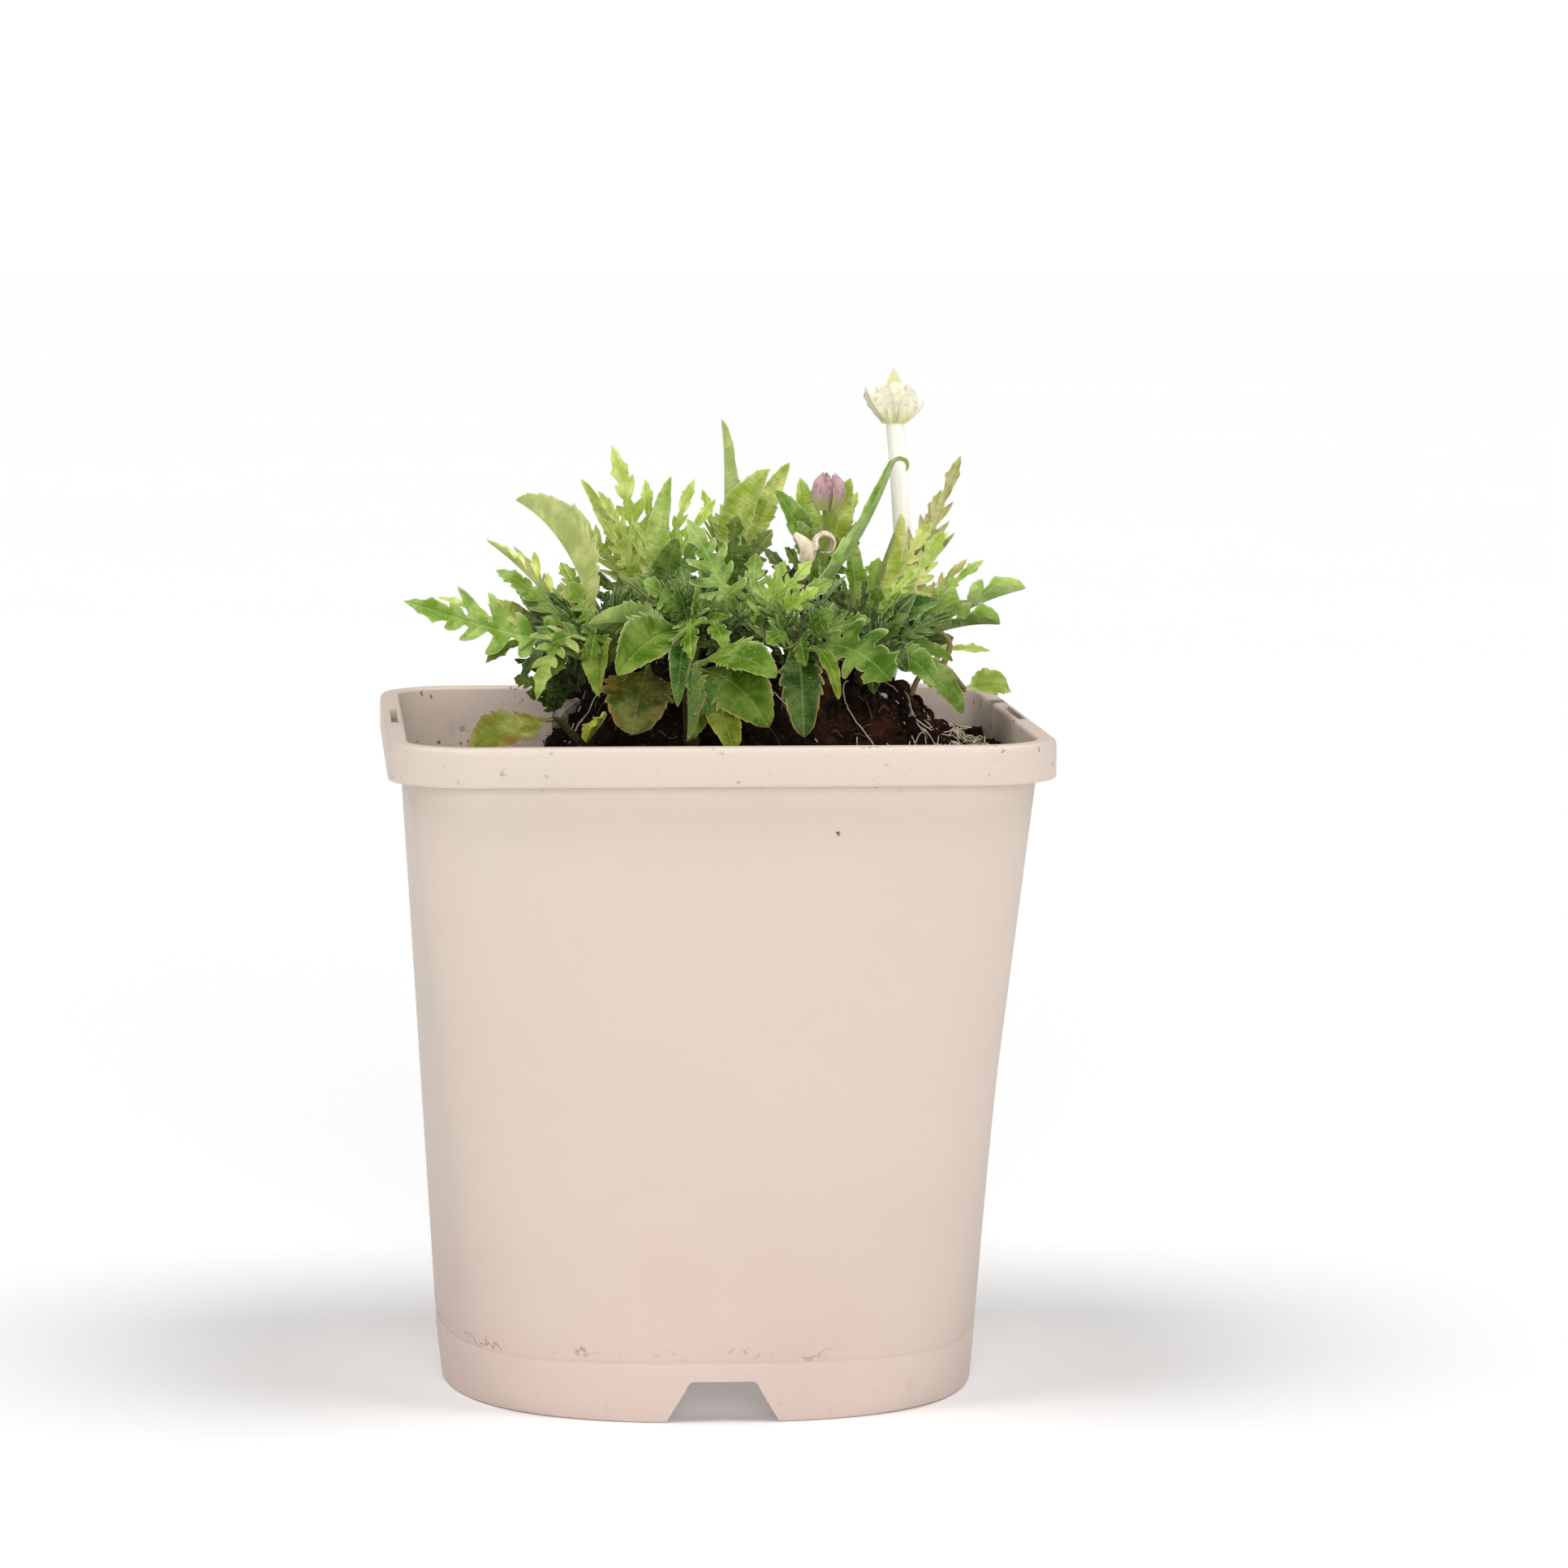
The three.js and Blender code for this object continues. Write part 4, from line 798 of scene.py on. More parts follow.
# %% Define a recipe
class Recipe:
    """A Geometry Nodes tree with named inputs, used on a copy of the piece that it grows from."""

    def __init__(self, name, **inputs):
        self.tree = bpy.data.node_groups.new(name, "GeometryNodeTree")
        self.tree.interface.new_socket(name="Geometry", in_out="INPUT", socket_type="NodeSocketGeometry")
        self.tree.interface.new_socket(name="Geometry", in_out="OUTPUT", socket_type="NodeSocketGeometry")
        self.labels = {}
        for label, (kind, default) in inputs.items():
            socket = self.tree.interface.new_socket(name=label, in_out="INPUT",
                                                    socket_type="NodeSocket" + kind)
            if default is not None:
                socket.default_value = default
            self.labels[label] = socket.identifier
        self.entry = self.tree.nodes.new("NodeGroupInput")
        self.exit = self.tree.nodes.new("NodeGroupOutput")

    def take(self, label):
        return self.entry.outputs[label]

    def node(self, kind, settings=None, inputs=None, output=0):
        made_node = self.tree.nodes.new(kind)
        for key, value in (settings or {}).items():
            setattr(made_node, key, value)
        for key, value in (inputs or {}).items():
            if isinstance(value, bpy.types.NodeSocket):
                self.tree.links.new(value, made_node.inputs[key])
            else:
                made_node.inputs[key].default_value = value
        return made_node.outputs[output]

    def spread_points(self):
        """The node that spreads points over the piece, as dense as the recipe's input says."""
        points = self.tree.nodes.new("GeometryNodeDistributePointsOnFaces")
        for label, key in (("Geometry", "Mesh"), ("Density", "Density"), ("Seed", "Seed")):
            self.tree.links.new(self.take(label), points.inputs[key])
        return points

    def draw(self, low, high, seed):
        """A direction or size of its own for each point, between low and high."""
        return self.node("FunctionNodeRandomValue", {"data_type": "FLOAT_VECTOR"},
                         {0: low, 1: high, "Seed": seed})

    def end(self, geometry):
        plain = self.node("GeometryNodeRealizeInstances", None, {"Geometry": geometry})
        painted = self.node("GeometryNodeSetMaterial", None,
                            {"Geometry": plain, "Material": self.take("Material")})
        self.tree.links.new(painted, self.exit.inputs[0])

    def grow(self, name, source, **values):
        """A new piece made by this recipe from the mesh of source."""
        piece = bpy.data.objects.new(name, source.copy())
        bpy.context.scene.collection.objects.link(piece)
        modifier = piece.modifiers.new("recipe", "NODES")
        modifier.node_group = self.tree
        for label, value in values.items():
            modifier[self.labels[label]] = value
        return settle(piece)


print("a Recipe can:", [name for name in vars(Recipe) if not name.startswith("_")])

# %% Write the recipe for grains
FULL_TURN = 6.283
TURN_SEED = 7


def scatter_recipe():
    """Small grains over a surface, each turned and stretched by its own draw."""
    recipe = Recipe("scatter", Density=("Float", 1e5), Low=("Vector", (0.001,) * 3),
                    High=("Vector", (0.002,) * 3), Seed=("Int", 1), Sides=("Int", 1),
                    Material=("Material", None))
    points = recipe.spread_points()
    size = recipe.draw(recipe.take("Low"), recipe.take("High"), recipe.take("Seed"))
    turn = recipe.draw((0, 0, 0), (FULL_TURN,) * 3, TURN_SEED)
    grain = recipe.node("GeometryNodeMeshIcoSphere", None,
                        {"Radius": 1.0, "Subdivisions": recipe.take("Sides")})
    recipe.end(recipe.node("GeometryNodeInstanceOnPoints", None, {
        "Points": points.outputs["Points"], "Instance": grain, "Scale": size,
        "Rotation": recipe.node("FunctionNodeEulerToRotation", None, {0: turn})}))
    return recipe


scatter = scatter_recipe()
print("recipe:", scatter.tree.name, "inputs:", list(scatter.labels))

# %% Write the recipe for hairs
LEAN_SEED = 3
SIZE_SEED = 5
HAIR_SIZES = (0.5, 1.2)


def hair_recipe():
    """Thin three-sided spikes that stand off a surface, each leaning its own way."""
    recipe = Recipe("hairs", Density=("Float", 1e5), Length=("Float", 0.0006), Thick=("Float", 0.00003),
                    Lean=("Float", 0.6), Seed=("Int", 1), Material=("Material", None))
    points = recipe.spread_points()
    aside = recipe.draw((-1.0,) * 3, (1.0,) * 3, LEAN_SEED)
    leaning = recipe.node("ShaderNodeVectorMath", {"operation": "SCALE"},
                          {0: aside, "Scale": recipe.take("Lean")})
    toward = recipe.node("ShaderNodeVectorMath", {"operation": "ADD"},
                         {0: points.outputs["Normal"], 1: leaning})
    turn = recipe.node("FunctionNodeAlignRotationToVector", {"axis": "Z"}, {"Vector": toward})
    spike = recipe.node("GeometryNodeMeshCone", {"fill_type": "NONE"}, {
        "Vertices": 3, "Radius Top": 0.0, "Radius Bottom": recipe.take("Thick"),
        "Depth": recipe.take("Length")})
    size = recipe.node("FunctionNodeRandomValue", {"data_type": "FLOAT"},
                       {2: HAIR_SIZES[0], 3: HAIR_SIZES[1], "Seed": SIZE_SEED}, output=1)
    recipe.end(recipe.node("GeometryNodeInstanceOnPoints", None, {
        "Points": points.outputs["Points"], "Instance": spike, "Rotation": turn, "Scale": size}))
    return recipe


hairs = hair_recipe()
print("recipe:", hairs.tree.name, "inputs:", list(hairs.labels))

# %% Write the recipe for threads
THREAD_SIDES = 5


def thread_recipe():
    """Bare lines turned into round threads."""
    recipe = Recipe("threads", Thick=("Float", 0.0002), Material=("Material", None))
    line = recipe.node("GeometryNodeMeshToCurve", None, {"Mesh": recipe.take("Geometry")})
    ring = recipe.node("GeometryNodeCurvePrimitiveCircle", None,
                       {"Resolution": THREAD_SIDES, "Radius": recipe.take("Thick")})
    thread = recipe.node("GeometryNodeCurveToMesh", None,
                         {"Curve": line, "Profile Curve": ring, "Fill Caps": True})
    recipe.end(recipe.node("GeometryNodeSetShadeSmooth", None, {"Geometry": thread}))
    return recipe


def line_mesh(name, lines):
    """A mesh of bare lines, from lists of points in millimetres."""
    mesh = bpy.data.meshes.new(name)
    points, edges = [], []
    for line in lines:
        start = len(points)
        points += [tuple(c * MM for c in p) for p in line]
        edges += [(start + i, start + i + 1) for i in range(len(line) - 1)]
    mesh.from_pydata(points, edges, [])
    return mesh


threads = thread_recipe()
print("recipe:", threads.tree.name, "inputs:", list(threads.labels))

# %% [markdown]
# ## Soil
#
# Dark peaty potting soil with a little perlite. It is low at the left wall, higher at the right and heaped
# round the crown of the plant. The surface follows the CAD's own height rule, with clods on top of it from
# fractal noise. The colour goes from near black in the hollows to a dry brown on the crumbs.

# %% Mix the soil
REDDISH_FROM = (-12.0, 34.0)


def soil_finish(name, dry):
    """Dark peat with dry crumbs, redder towards the right where the root ball shows, and darker towards the
    left, where it lies low by the wall: painted shade.
    """
    finish = Finish(name, roughness=0.95, Specular_IOR_Level=0.08)
    clods = finish.noise(2.2, 5.0, rough=0.7)
    base = finish.blend(clods.step(0.35, 0.7), (13, 10, 8), dry)
    to_right = finish.split(finish.place())[0].step(*REDDISH_FROM)
    reddish = finish.noise(9, 3.0, shift=4.0).step(0.5, 0.75) * to_right * 0.8
    base = finish.blend(reddish, base, (92, 52, 36))
    # Painted shade: the soil is darkened towards the left, where it lies low by the wall.
    base = finish.blend((1 - to_right) * 0.45, base, (16, 13, 11))
    fibre = finish.noise(0.5, 3.0, stretch=(0.3, 1.0, 0.6), shift=8.0).step(0.62, 0.7)
    finish.colour(finish.blend(fibre * 0.35, base, (104, 82, 62)))
    finish.roughness(0.85 + clods * 0.15)
    finish.bump(clods + fibre * 0.3, 0.4)
    return finish.material


soil_dark = soil_finish("potting soil", (40, 26, 18))
soil_crumbs = soil_finish("soil crumbs", (66, 44, 31))


def perlite_finish():
    finish = Finish("perlite", roughness=0.9)
    finish.colour(finish.blend(finish.noise(0.8, 3.0).step(0.3, 0.7), (176, 166, 152), (216, 209, 197)))
    return finish.material


perlite = perlite_finish()
print("soil finishes ready")

# %% Work out the soil's height
SOIL_LEFT = -16.0
SOIL_RIGHT = -7.0
SLOPE = {"from": -35, "width": 90}
BACK_DROP = {"from": 10, "width": 50, "deep": 2.5}
MOUND = {"x": 7, "y": -2, "rx": 48, "ry": 44, "top": 10}
HOLLOW = {"x": 31, "y": -36, "rx": 9, "ry": 10, "deep": 5}
BANK = {"x": -26, "y": -30, "rx": 8, "ry": 8, "rise": 11}
CLOD_SIZE = 7
CLOD_HEIGHT = 1.5
GRAIN_SIZE = 1.9
GRAIN_HEIGHT = 0.7


def bump_at(spot, x, y):
    """1 in the middle of a round spot, falling to 0 round it."""
    return math.exp(-(((x - spot["x"]) / spot["rx"]) ** 2) - (((y - spot["y"]) / spot["ry"]) ** 2))


def soil_height(x, y):
    """The CAD's height of the soil."""
    edge = mix(SOIL_LEFT, SOIL_RIGHT, smooth((x - SLOPE["from"]) / SLOPE["width"]))
    edge -= BACK_DROP["deep"] * smooth((y - BACK_DROP["from"]) / BACK_DROP["width"])
    dx, dy = (x - MOUND["x"]) / MOUND["rx"], (y - MOUND["y"]) / MOUND["ry"]
    heap = smooth(2 * (1 - math.hypot(dx, dy)))
    hollow = HOLLOW["deep"] * bump_at(HOLLOW, x, y)
    lumps = (1.1 * math.sin(x * 0.31 + y * 0.17) * math.sin(y * 0.37 - x * 0.11)
             + 0.8 * math.sin(x * 0.83 + 1.3) * math.sin(y * 0.71 + 0.4))
    bank = BANK["rise"] * bump_at(BANK, x, y)
    return POT_HEIGHT + mix(edge, MOUND["top"], heap) - hollow + bank + lumps


def clod(x, y):
    """Roughness of the surface on top of the CAD's height."""
    broad = rough_ground.fractal(Vector((x / CLOD_SIZE, y / CLOD_SIZE, 1.7)), 1.0, 2.0, 3)
    fine = rough_ground.fractal(Vector((x / GRAIN_SIZE, y / GRAIN_SIZE, 5.2)), 0.8, 2.0, 3)
    return CLOD_HEIGHT * broad + GRAIN_HEIGHT * fine


def ground(x, y):
    return soil_height(x, y) + clod(x, y)


print("soil height in the middle:", round(soil_height(0, 0), 1))

# %% Shape the soil
GAP = 0.3
SOIL_RINGS = 62
RING_SPREAD = 0.8
WALL_FIRST_GUESS = 12
WALL_TRIES = 4
SOIL_SIDE_LEVELS = (112, 80, 40, FLOOR_TOP + GAP)


def soil_rim():
    """Where the soil meets the wall. The wall leans, so height and reach are found in turns."""
    rim = []
    for a in ANGLES:
        z = POT_HEIGHT - WALL_FIRST_GUESS
        for _ in range(WALL_TRIES):
            reach = inside_reach(z, a) - GAP
            z = soil_height(reach * math.cos(a), reach * math.sin(a))
        rim.append((reach * math.cos(a), reach * math.sin(a)))
    return rim


def soil_rings():
    rim, rings = soil_rim(), []
    for k in range(1, SOIL_RINGS + 1):
        share = (k / SOIL_RINGS) ** RING_SPREAD
        rings.append([(x * share, y * share, ground(x * share, y * share)) for x, y in rim])
    return rings + [ring_of(lambda a, z=z: inside_reach(z, a) - GAP, z) for z in SOIL_SIDE_LEVELS]


soil_shell = Shell()
soil_shell.add(*lofted(soil_rings(), (0, 0, ground(0, 0)), (0, 0, FLOOR_TOP + GAP)))
soil = soil_shell.piece("root_ball", [soil_dark], crease=60)
keep(soil, "soil", "soil")

# %% [markdown]
# Loose crumbs, clods and perlite lie on the soil. They grow from a sheet that has only the soil's upper
# surface, so none ends up against the wall underground.

# %% Strew crumbs, clods and perlite
CRUMB_STEP = 2.0
CRUMB_EDGE = 57.5
CRUMB_REACH = 57.0
INSIDE_CORNER = 13


def soil_sheet():
    """The soil's upper surface as a coarse sheet that ends inside the wall."""
    shell = Shell()
    steps = int(2 * CRUMB_EDGE / CRUMB_STEP)
    for i in range(steps):
        for j in range(steps):
            x, y = -CRUMB_EDGE + i * CRUMB_STEP, -CRUMB_EDGE + j * CRUMB_STEP
            far_x, far_y = x + CRUMB_STEP, y + CRUMB_STEP
            if math.hypot(x, y) < square_reach(CRUMB_REACH, INSIDE_CORNER, math.atan2(y, x)):
                corners = [(x, y), (far_x, y), (far_x, far_y), (x, far_y)]
                shell.add([(u, v, ground(u, v)) for u, v in corners], [(0, 1, 2, 3)])
    sheet = shell.piece("sheet", [soil_crumbs])
    mesh = sheet.data
    bpy.data.objects.remove(sheet)
    return mesh


# Name, grains to the square metre, least and most half sizes in metres, seed, roundness and finish.
GRAINS = [
    ("soil_crumbs", 4.2e5, (0.00025, 0.00025, 0.0002), (0.00125, 0.0011, 0.0009), 11, 1, soil_crumbs),
    ("soil_clods", 2.6e4, (0.0012, 0.001, 0.0008), (0.0031, 0.0026, 0.0022), 23, 2, soil_dark),
    ("soil_perlite", 4e3, (0.0003, 0.0003, 0.0003), (0.0011, 0.0009, 0.0008), 31, 1, perlite),
]
soil_top = soil_sheet()
for name, density, low, high, seed, sides, finish in GRAINS:
    grains = scatter.grow(name, soil_top, Density=density, Low=low, High=high, Seed=seed, Sides=sides,
                          Material=finish)
    keep(grains, "soil")

# %% [markdown]
# ## Roots and fibres
#
# Fine pale roots have grown to the surface, most of them at the right wall. A root wanders, so each is a
# walk over the soil in short steps whose heading drifts by a seeded draw, and the thread recipe gives it
# thickness.

# %% Let a root wander
ROOT_STEP = 1.1
ROOT_EDGE = 57.5
TURN_BACK = 2.4
PULL_IN = 0.97


def wander(x, y, heading, steps, curl, lift, draws):
    """A line over the soil whose heading drifts, and which turns back at the wall."""
    line = []
    drift = 0.0
    for k in range(steps):
        arch = lift * math.sin(math.pi * k / (steps - 1)) + 0.25 * math.sin(k * 1.3 + heading)
        line.append((x, y, ground(x, y) + 0.2 + arch))
        drift = 0.7 * drift + draws.uniform(-curl, curl)
        heading += drift
        x += ROOT_STEP * math.cos(heading)
        y += ROOT_STEP * math.sin(heading)
        if math.hypot(x, y) > square_reach(ROOT_EDGE, INSIDE_CORNER, math.atan2(y, x)):
            heading += TURN_BACK
            x, y = x * PULL_IN, y * PULL_IN
    return line


def root_finish(name, pale, brown):
    finish = Finish(name, roughness=0.7)
    finish.colour(finish.blend(finish.noise(5, 3.0).step(0.4, 0.7), pale, brown))
    finish.bump(finish.noise(0.6, 2.0), 0.05)
    return finish.material


print("steps of a root:", ROOT_STEP, "mm")

# %% Lay the roots and the fibres
# Middle and half sizes of a patch in millimetres, and how many roots it has.
ROOT_PATCHES = [
    (48, -28, 11, 16, 60), (40, -38, 14, 10, 34), (-29, -14, 4, 10, 9), (54, 8, 5, 20, 30),
    (10, -50, 14, 4, 10), (-5, 40, 26, 8, 14),
]
ROOT_LIMIT = 54
HEADINGS = (0, 6.28)
ROOT_STEPS, ROOT_CURL, ROOT_LIFT, ROOT_THICK = (7, 17), 0.35, (0.2, 2.2), 0.00014
FIBRE_STEPS, FIBRE_CURL, FIBRE_LIFT, FIBRE_THICK = (3, 6), 0.3, (0.1, 1.0), 0.00011
FIBRES = 420

draws = random.Random(5)
root_lines, fibre_lines = [], []
for px, py, rx, ry, count in ROOT_PATCHES:
    for _ in range(count):
        x, y = draws.gauss(px, rx / 2), draws.gauss(py, ry / 2)
        x, y = (max(-ROOT_LIMIT, min(ROOT_LIMIT, c)) for c in (x, y))
        heading, steps, lift = draws.uniform(*HEADINGS), draws.randint(*ROOT_STEPS), draws.uniform(*ROOT_LIFT)
        root_lines.append(wander(x, y, heading, steps, ROOT_CURL, lift, draws))
for _ in range(FIBRES):
    x, y = draws.uniform(-50, 52), draws.uniform(-52, 50)
    heading, steps, lift = draws.uniform(*HEADINGS), draws.randint(*FIBRE_STEPS), draws.uniform(*FIBRE_LIFT)
    fibre_lines.append(wander(x, y, heading, steps, FIBRE_CURL, lift, draws))
roots = threads.grow("pale_roots", line_mesh("roots", root_lines), Thick=ROOT_THICK,
                     Material=root_finish("pale root", (214, 200, 176), (164, 136, 106)))
keep(roots, "soil")
fibres = threads.grow("peat_fibres", line_mesh("fibres", fibre_lines), Thick=FIBRE_THICK,
                      Material=root_finish("peat fibre", (112, 86, 66), (66, 48, 38)))
keep(fibres, "soil")

# %% [markdown]
# ## The leaf's finish
# A scabious leaf is soft green, paler and greyer below, with a pale rib, sunken side veins and a thin pale
# edge with short hairs. The mesh carries what the material needs: `tone` is the colour of this leaf with its
# painted light and shade, `leaf_place` holds the place in the row of lobes, the distance from the rib in
# millimetres and the share of the way to the edge, and `under` is 1 on the lower side. So the veins follow
# each leaf wherever it bends. The material paints light as well: the higher a leaf stands, the paler it is.

# %% Mix the leaf's finish
# PALE_FROM and EDGE_PALE_FROM are the heights over which painted light makes the leaves and their edges
# paler.
PALE_FROM = (142.0, 176.0)
EDGE_PALE_FROM = (142.0, 160.0)


def leaf_finish(name, withered=0.0):
    """A leaf in its own tone with rib, veins and a pale edge; painted light makes it paler the higher it
    stands.
    """
    finish = Finish(name, roughness=0.5, Specular_IOR_Level=0.07)
    tone = finish.node("ShaderNodeAttribute", {"attribute_name": "tone"})
    under = finish.node("ShaderNodeAttribute", {"attribute_name": "under"}, output=2)
    place = finish.node("ShaderNodeAttribute", {"attribute_name": "leaf_place"}, output=1)
    lobe, from_rib, to_edge = finish.split(place)
    height = finish.split(finish.place())[2]
    # pale is painted light: it grows with height and strengthens the light patches, the pale rib and the pale
    # lower side.
    pale = height.step(*PALE_FROM) * 0.75 + 0.25
    rib = 1 - from_rib.step(0.1, 0.4)
    vein = (1 - (lobe.fraction() - 0.5).size().step(0.01, 0.1)) * (1 - to_edge.step(0.6, 0.95))
    net = finish.noise(1.2, 3.0, shift=2.0)
    patch = finish.noise(5, 3.0, shift=5.0)
    dark = finish.node("ShaderNodeMix", {"data_type": "RGBA", "blend_type": "MULTIPLY"},
                       {0: 1.0, 6: tone, 7: rgb(176, 196, 128)}, output=2)
    light = finish.blend(pale * 0.34, tone, (206, 214, 146))
    base = finish.blend(patch.step(0.35, 0.68), dark, light)
    base = finish.blend(net.step(0.4, 0.7) * 0.3, base, dark)
    base = finish.blend((vein * 0.1 + rib * 0.36) * pale * (1 - withered * 0.6), base, (186, 206, 122))
    base = finish.blend(under * pale * 0.42, base, (184, 196, 142))
    edge = to_edge.step(0.86, 1.0)
    # The edge is golden brown low down, where the edges have browned, and paler higher up, which is painted
    # light.
    edge_browned_low_lit_high = finish.blend(height.step(*EDGE_PALE_FROM), (168, 142, 80), (212, 218, 172))
    base = finish.blend(edge * 0.5, base, edge_browned_low_lit_high)
    if withered:
        spots = finish.specks(3.0, 1.0, 0.35, shift=6.0)
        blotch = finish.noise(4, 5.0, shift=15.0).step(0.5, 0.66) * to_edge.step(0.1, 0.7)
        base = finish.blend(blotch * withered, base, (112, 84, 30))
        base = finish.blend(edge.most(spots) * withered * 0.7, base, (92, 62, 30))
    finish.colour(base)
    finish.roughness(0.44 + net * 0.18)
    finish.bump(net * 0.6 - vein * 0.35 * (1 - under * 2.0) - rib * 0.5, 0.2)
    return finish.material


leaf_green = leaf_finish("leaf green")
leaf_old = leaf_finish("leaf withered", withered=0.75)
print("leaf finishes:", leaf_green.name, "and", leaf_old.name)

# %% Mix the finishes of stalks and hairs
BLUSH_BELOW = (152.0, 136.0)
PAINTED_SHADE_BELOW = (150.0, 142.0)


def stalk_finish(name, pale, deep, blush, painted_shade_low=0.0):
    """A streaked stalk that blushes near the soil and, if asked, is darkened there by painted shade."""
    finish = Finish(name, roughness=0.55, Sheen_Weight=0.02, Specular_IOR_Level=0.14)
    height = finish.split(finish.place())[2]
    streak = finish.noise(1.1, 4.0, stretch=(1.0, 1.0, 0.12))
    base = finish.blend(streak.step(0.35, 0.65), pale, deep)
    blushing = height.step(*BLUSH_BELOW) * finish.noise(5, 2.0).step(0.35, 0.6) * 0.7
    base = finish.blend(blushing, base, blush)
    # Painted shade: the stalk goes dark brown low down, among the leaves near the soil.
    base = finish.blend(height.step(*PAINTED_SHADE_BELOW) * painted_shade_low, base, (46, 36, 24))
    finish.colour(base)
    finish.roughness(0.45 + streak * 0.15)
    finish.bump(streak, 0.15)
    return finish.material


petiole = stalk_finish("petiole", (170, 184, 98), (126, 150, 62), (142, 106, 84), painted_shade_low=0.9)
flower_stalk = stalk_finish("flower stem", (254, 252, 243), (250, 248, 234), (230, 228, 190))


def hair_finish():
    finish = Finish("plant hair", roughness=0.4, Specular_IOR_Level=0.6)
    finish.colour(finish.blend(finish.noise(4, 2.0).step(0.3, 0.7), (226, 234, 206), (240, 243, 230)))
    return finish.material


plant_hair = hair_finish()
print("stalk finishes:", petiole.name, "and", flower_stalk.name)

# %% [markdown]
# ## Leaf outlines
#
# Scabious leaves come in several cuts on one plant: round-toothed near the ground, cut into lobes higher up
# and feathery at the tips of young shoots. An outline is a rule, not a drawing. It follows an envelope
# along the rib, and each lobe is a bump on it whose tip leans forward. `cut` says how deep the notches go,
# `fill` and `foot` how wide a lobe is, and a small `blunt` makes its end round. `vary` and `slip` keep the
# lobes from being alike.

# %% Define the outlines
LOBED = {"blunt": .42, "foot": .5, "slip": .5, "end": .75, "tooth": .16, "vary": .5}
TOOTHED = {"end": .75, "first": .24, "last": .95, "cut": .2, "rises": [0, .4, .75, 1]}
LEAF_KINDS = {
    "cut": {**LOBED, "envelope": [(0, .1), (.16, .3), (.34, .72), (.52, .98), (.68, 1), (.84, .7), (1, .3)],
            "lobes": 5, "first": .17, "last": .78, "cut": .9, "lean": .15, "fill": .78, "tip": .32},
    "small": {**LOBED, "envelope": [(0, .1), (.2, .3), (.4, .8), (.6, 1), (.8, .78), (1, .3)],
              "lobes": 4, "first": .2, "last": .78, "cut": .86, "lean": .17, "fill": .8, "tip": .42},
    "cutfew": {**LOBED,
               "envelope": [(0, .1), (.18, .2), (.36, .62), (.54, .95), (.72, 1), (.88, .6), (1, .3)],
               "lobes": 4, "first": .22, "last": .8, "cut": .66, "lean": .13, "fill": .95, "tip": .5,
               "foot": .75, "vary": .35},
    "scallop": {**LOBED, "envelope": [(0, .12), (.16, .25), (.3, .7), (.5, 1), (.72, 1), (.88, .8), (1, .4)],
                "lobes": 3, "first": .24, "last": .74, "cut": .78, "lean": .05, "fill": .85, "tip": .56,
                "vary": .15, "slip": .1, "end": .35, "tooth": .03},
    "feather": {**LOBED, "envelope": [(0, .1), (.2, .35), (.4, .8), (.6, 1), (.8, .76), (1, .3)],
                "lobes": 6, "first": .14, "last": .84, "cut": .9, "lean": .2, "fill": .75, "tip": .28},
    "toothed": {**TOOTHED,
                "envelope": [(0, .12), (.2, .2), (.36, .6), (.52, .9), (.66, 1), (.78, .8), (.9, .46),
                             (1, .1)],
                "lobes": 11, "lean": .1, "tip": .05, "vary": .12},
    "oval": {**TOOTHED,
             "envelope": [(0, .12), (.18, .2), (.34, .8), (.52, 1), (.7, 1), (.86, .74), (.95, .4), (1, .1)],
             "lobes": 7, "first": .2, "lean": .08, "tip": .08, "vary": .2, "rises": [0, .75, 1, .75]},
    "lance": {**TOOTHED, "envelope": [(0, .3), (.22, .45), (.36, .8), (.6, 1), (.76, .84), (.9, .5), (1, .1)],
              "lobes": 9, "first": .3, "cut": .22, "lean": .1, "tip": .1, "vary": .2},
}
SMALL_BELOW = 9.5


def shape_of(kind, width):
    return LEAF_KINDS["small" if kind == "cut" and width < SMALL_BELOW else kind]


print("leaf kinds:", ", ".join(LEAF_KINDS))

# %% Trace an outline
STALK_PLACES = [0.0, 0.05, 0.11]
STALK_HALF = 0.5
LOBE_POINTS = 12
LOBE_BELLY = 1.4
TIP_POINTS = 9
THINNEST = 0.1


def lobe_half(shape, rise):
    """Half width of a lobe where it has risen a share of its length; a small blunt rounds its end."""
    return (1 - rise) ** shape["blunt"] * mix(shape["foot"], LOBE_BELLY, rise)


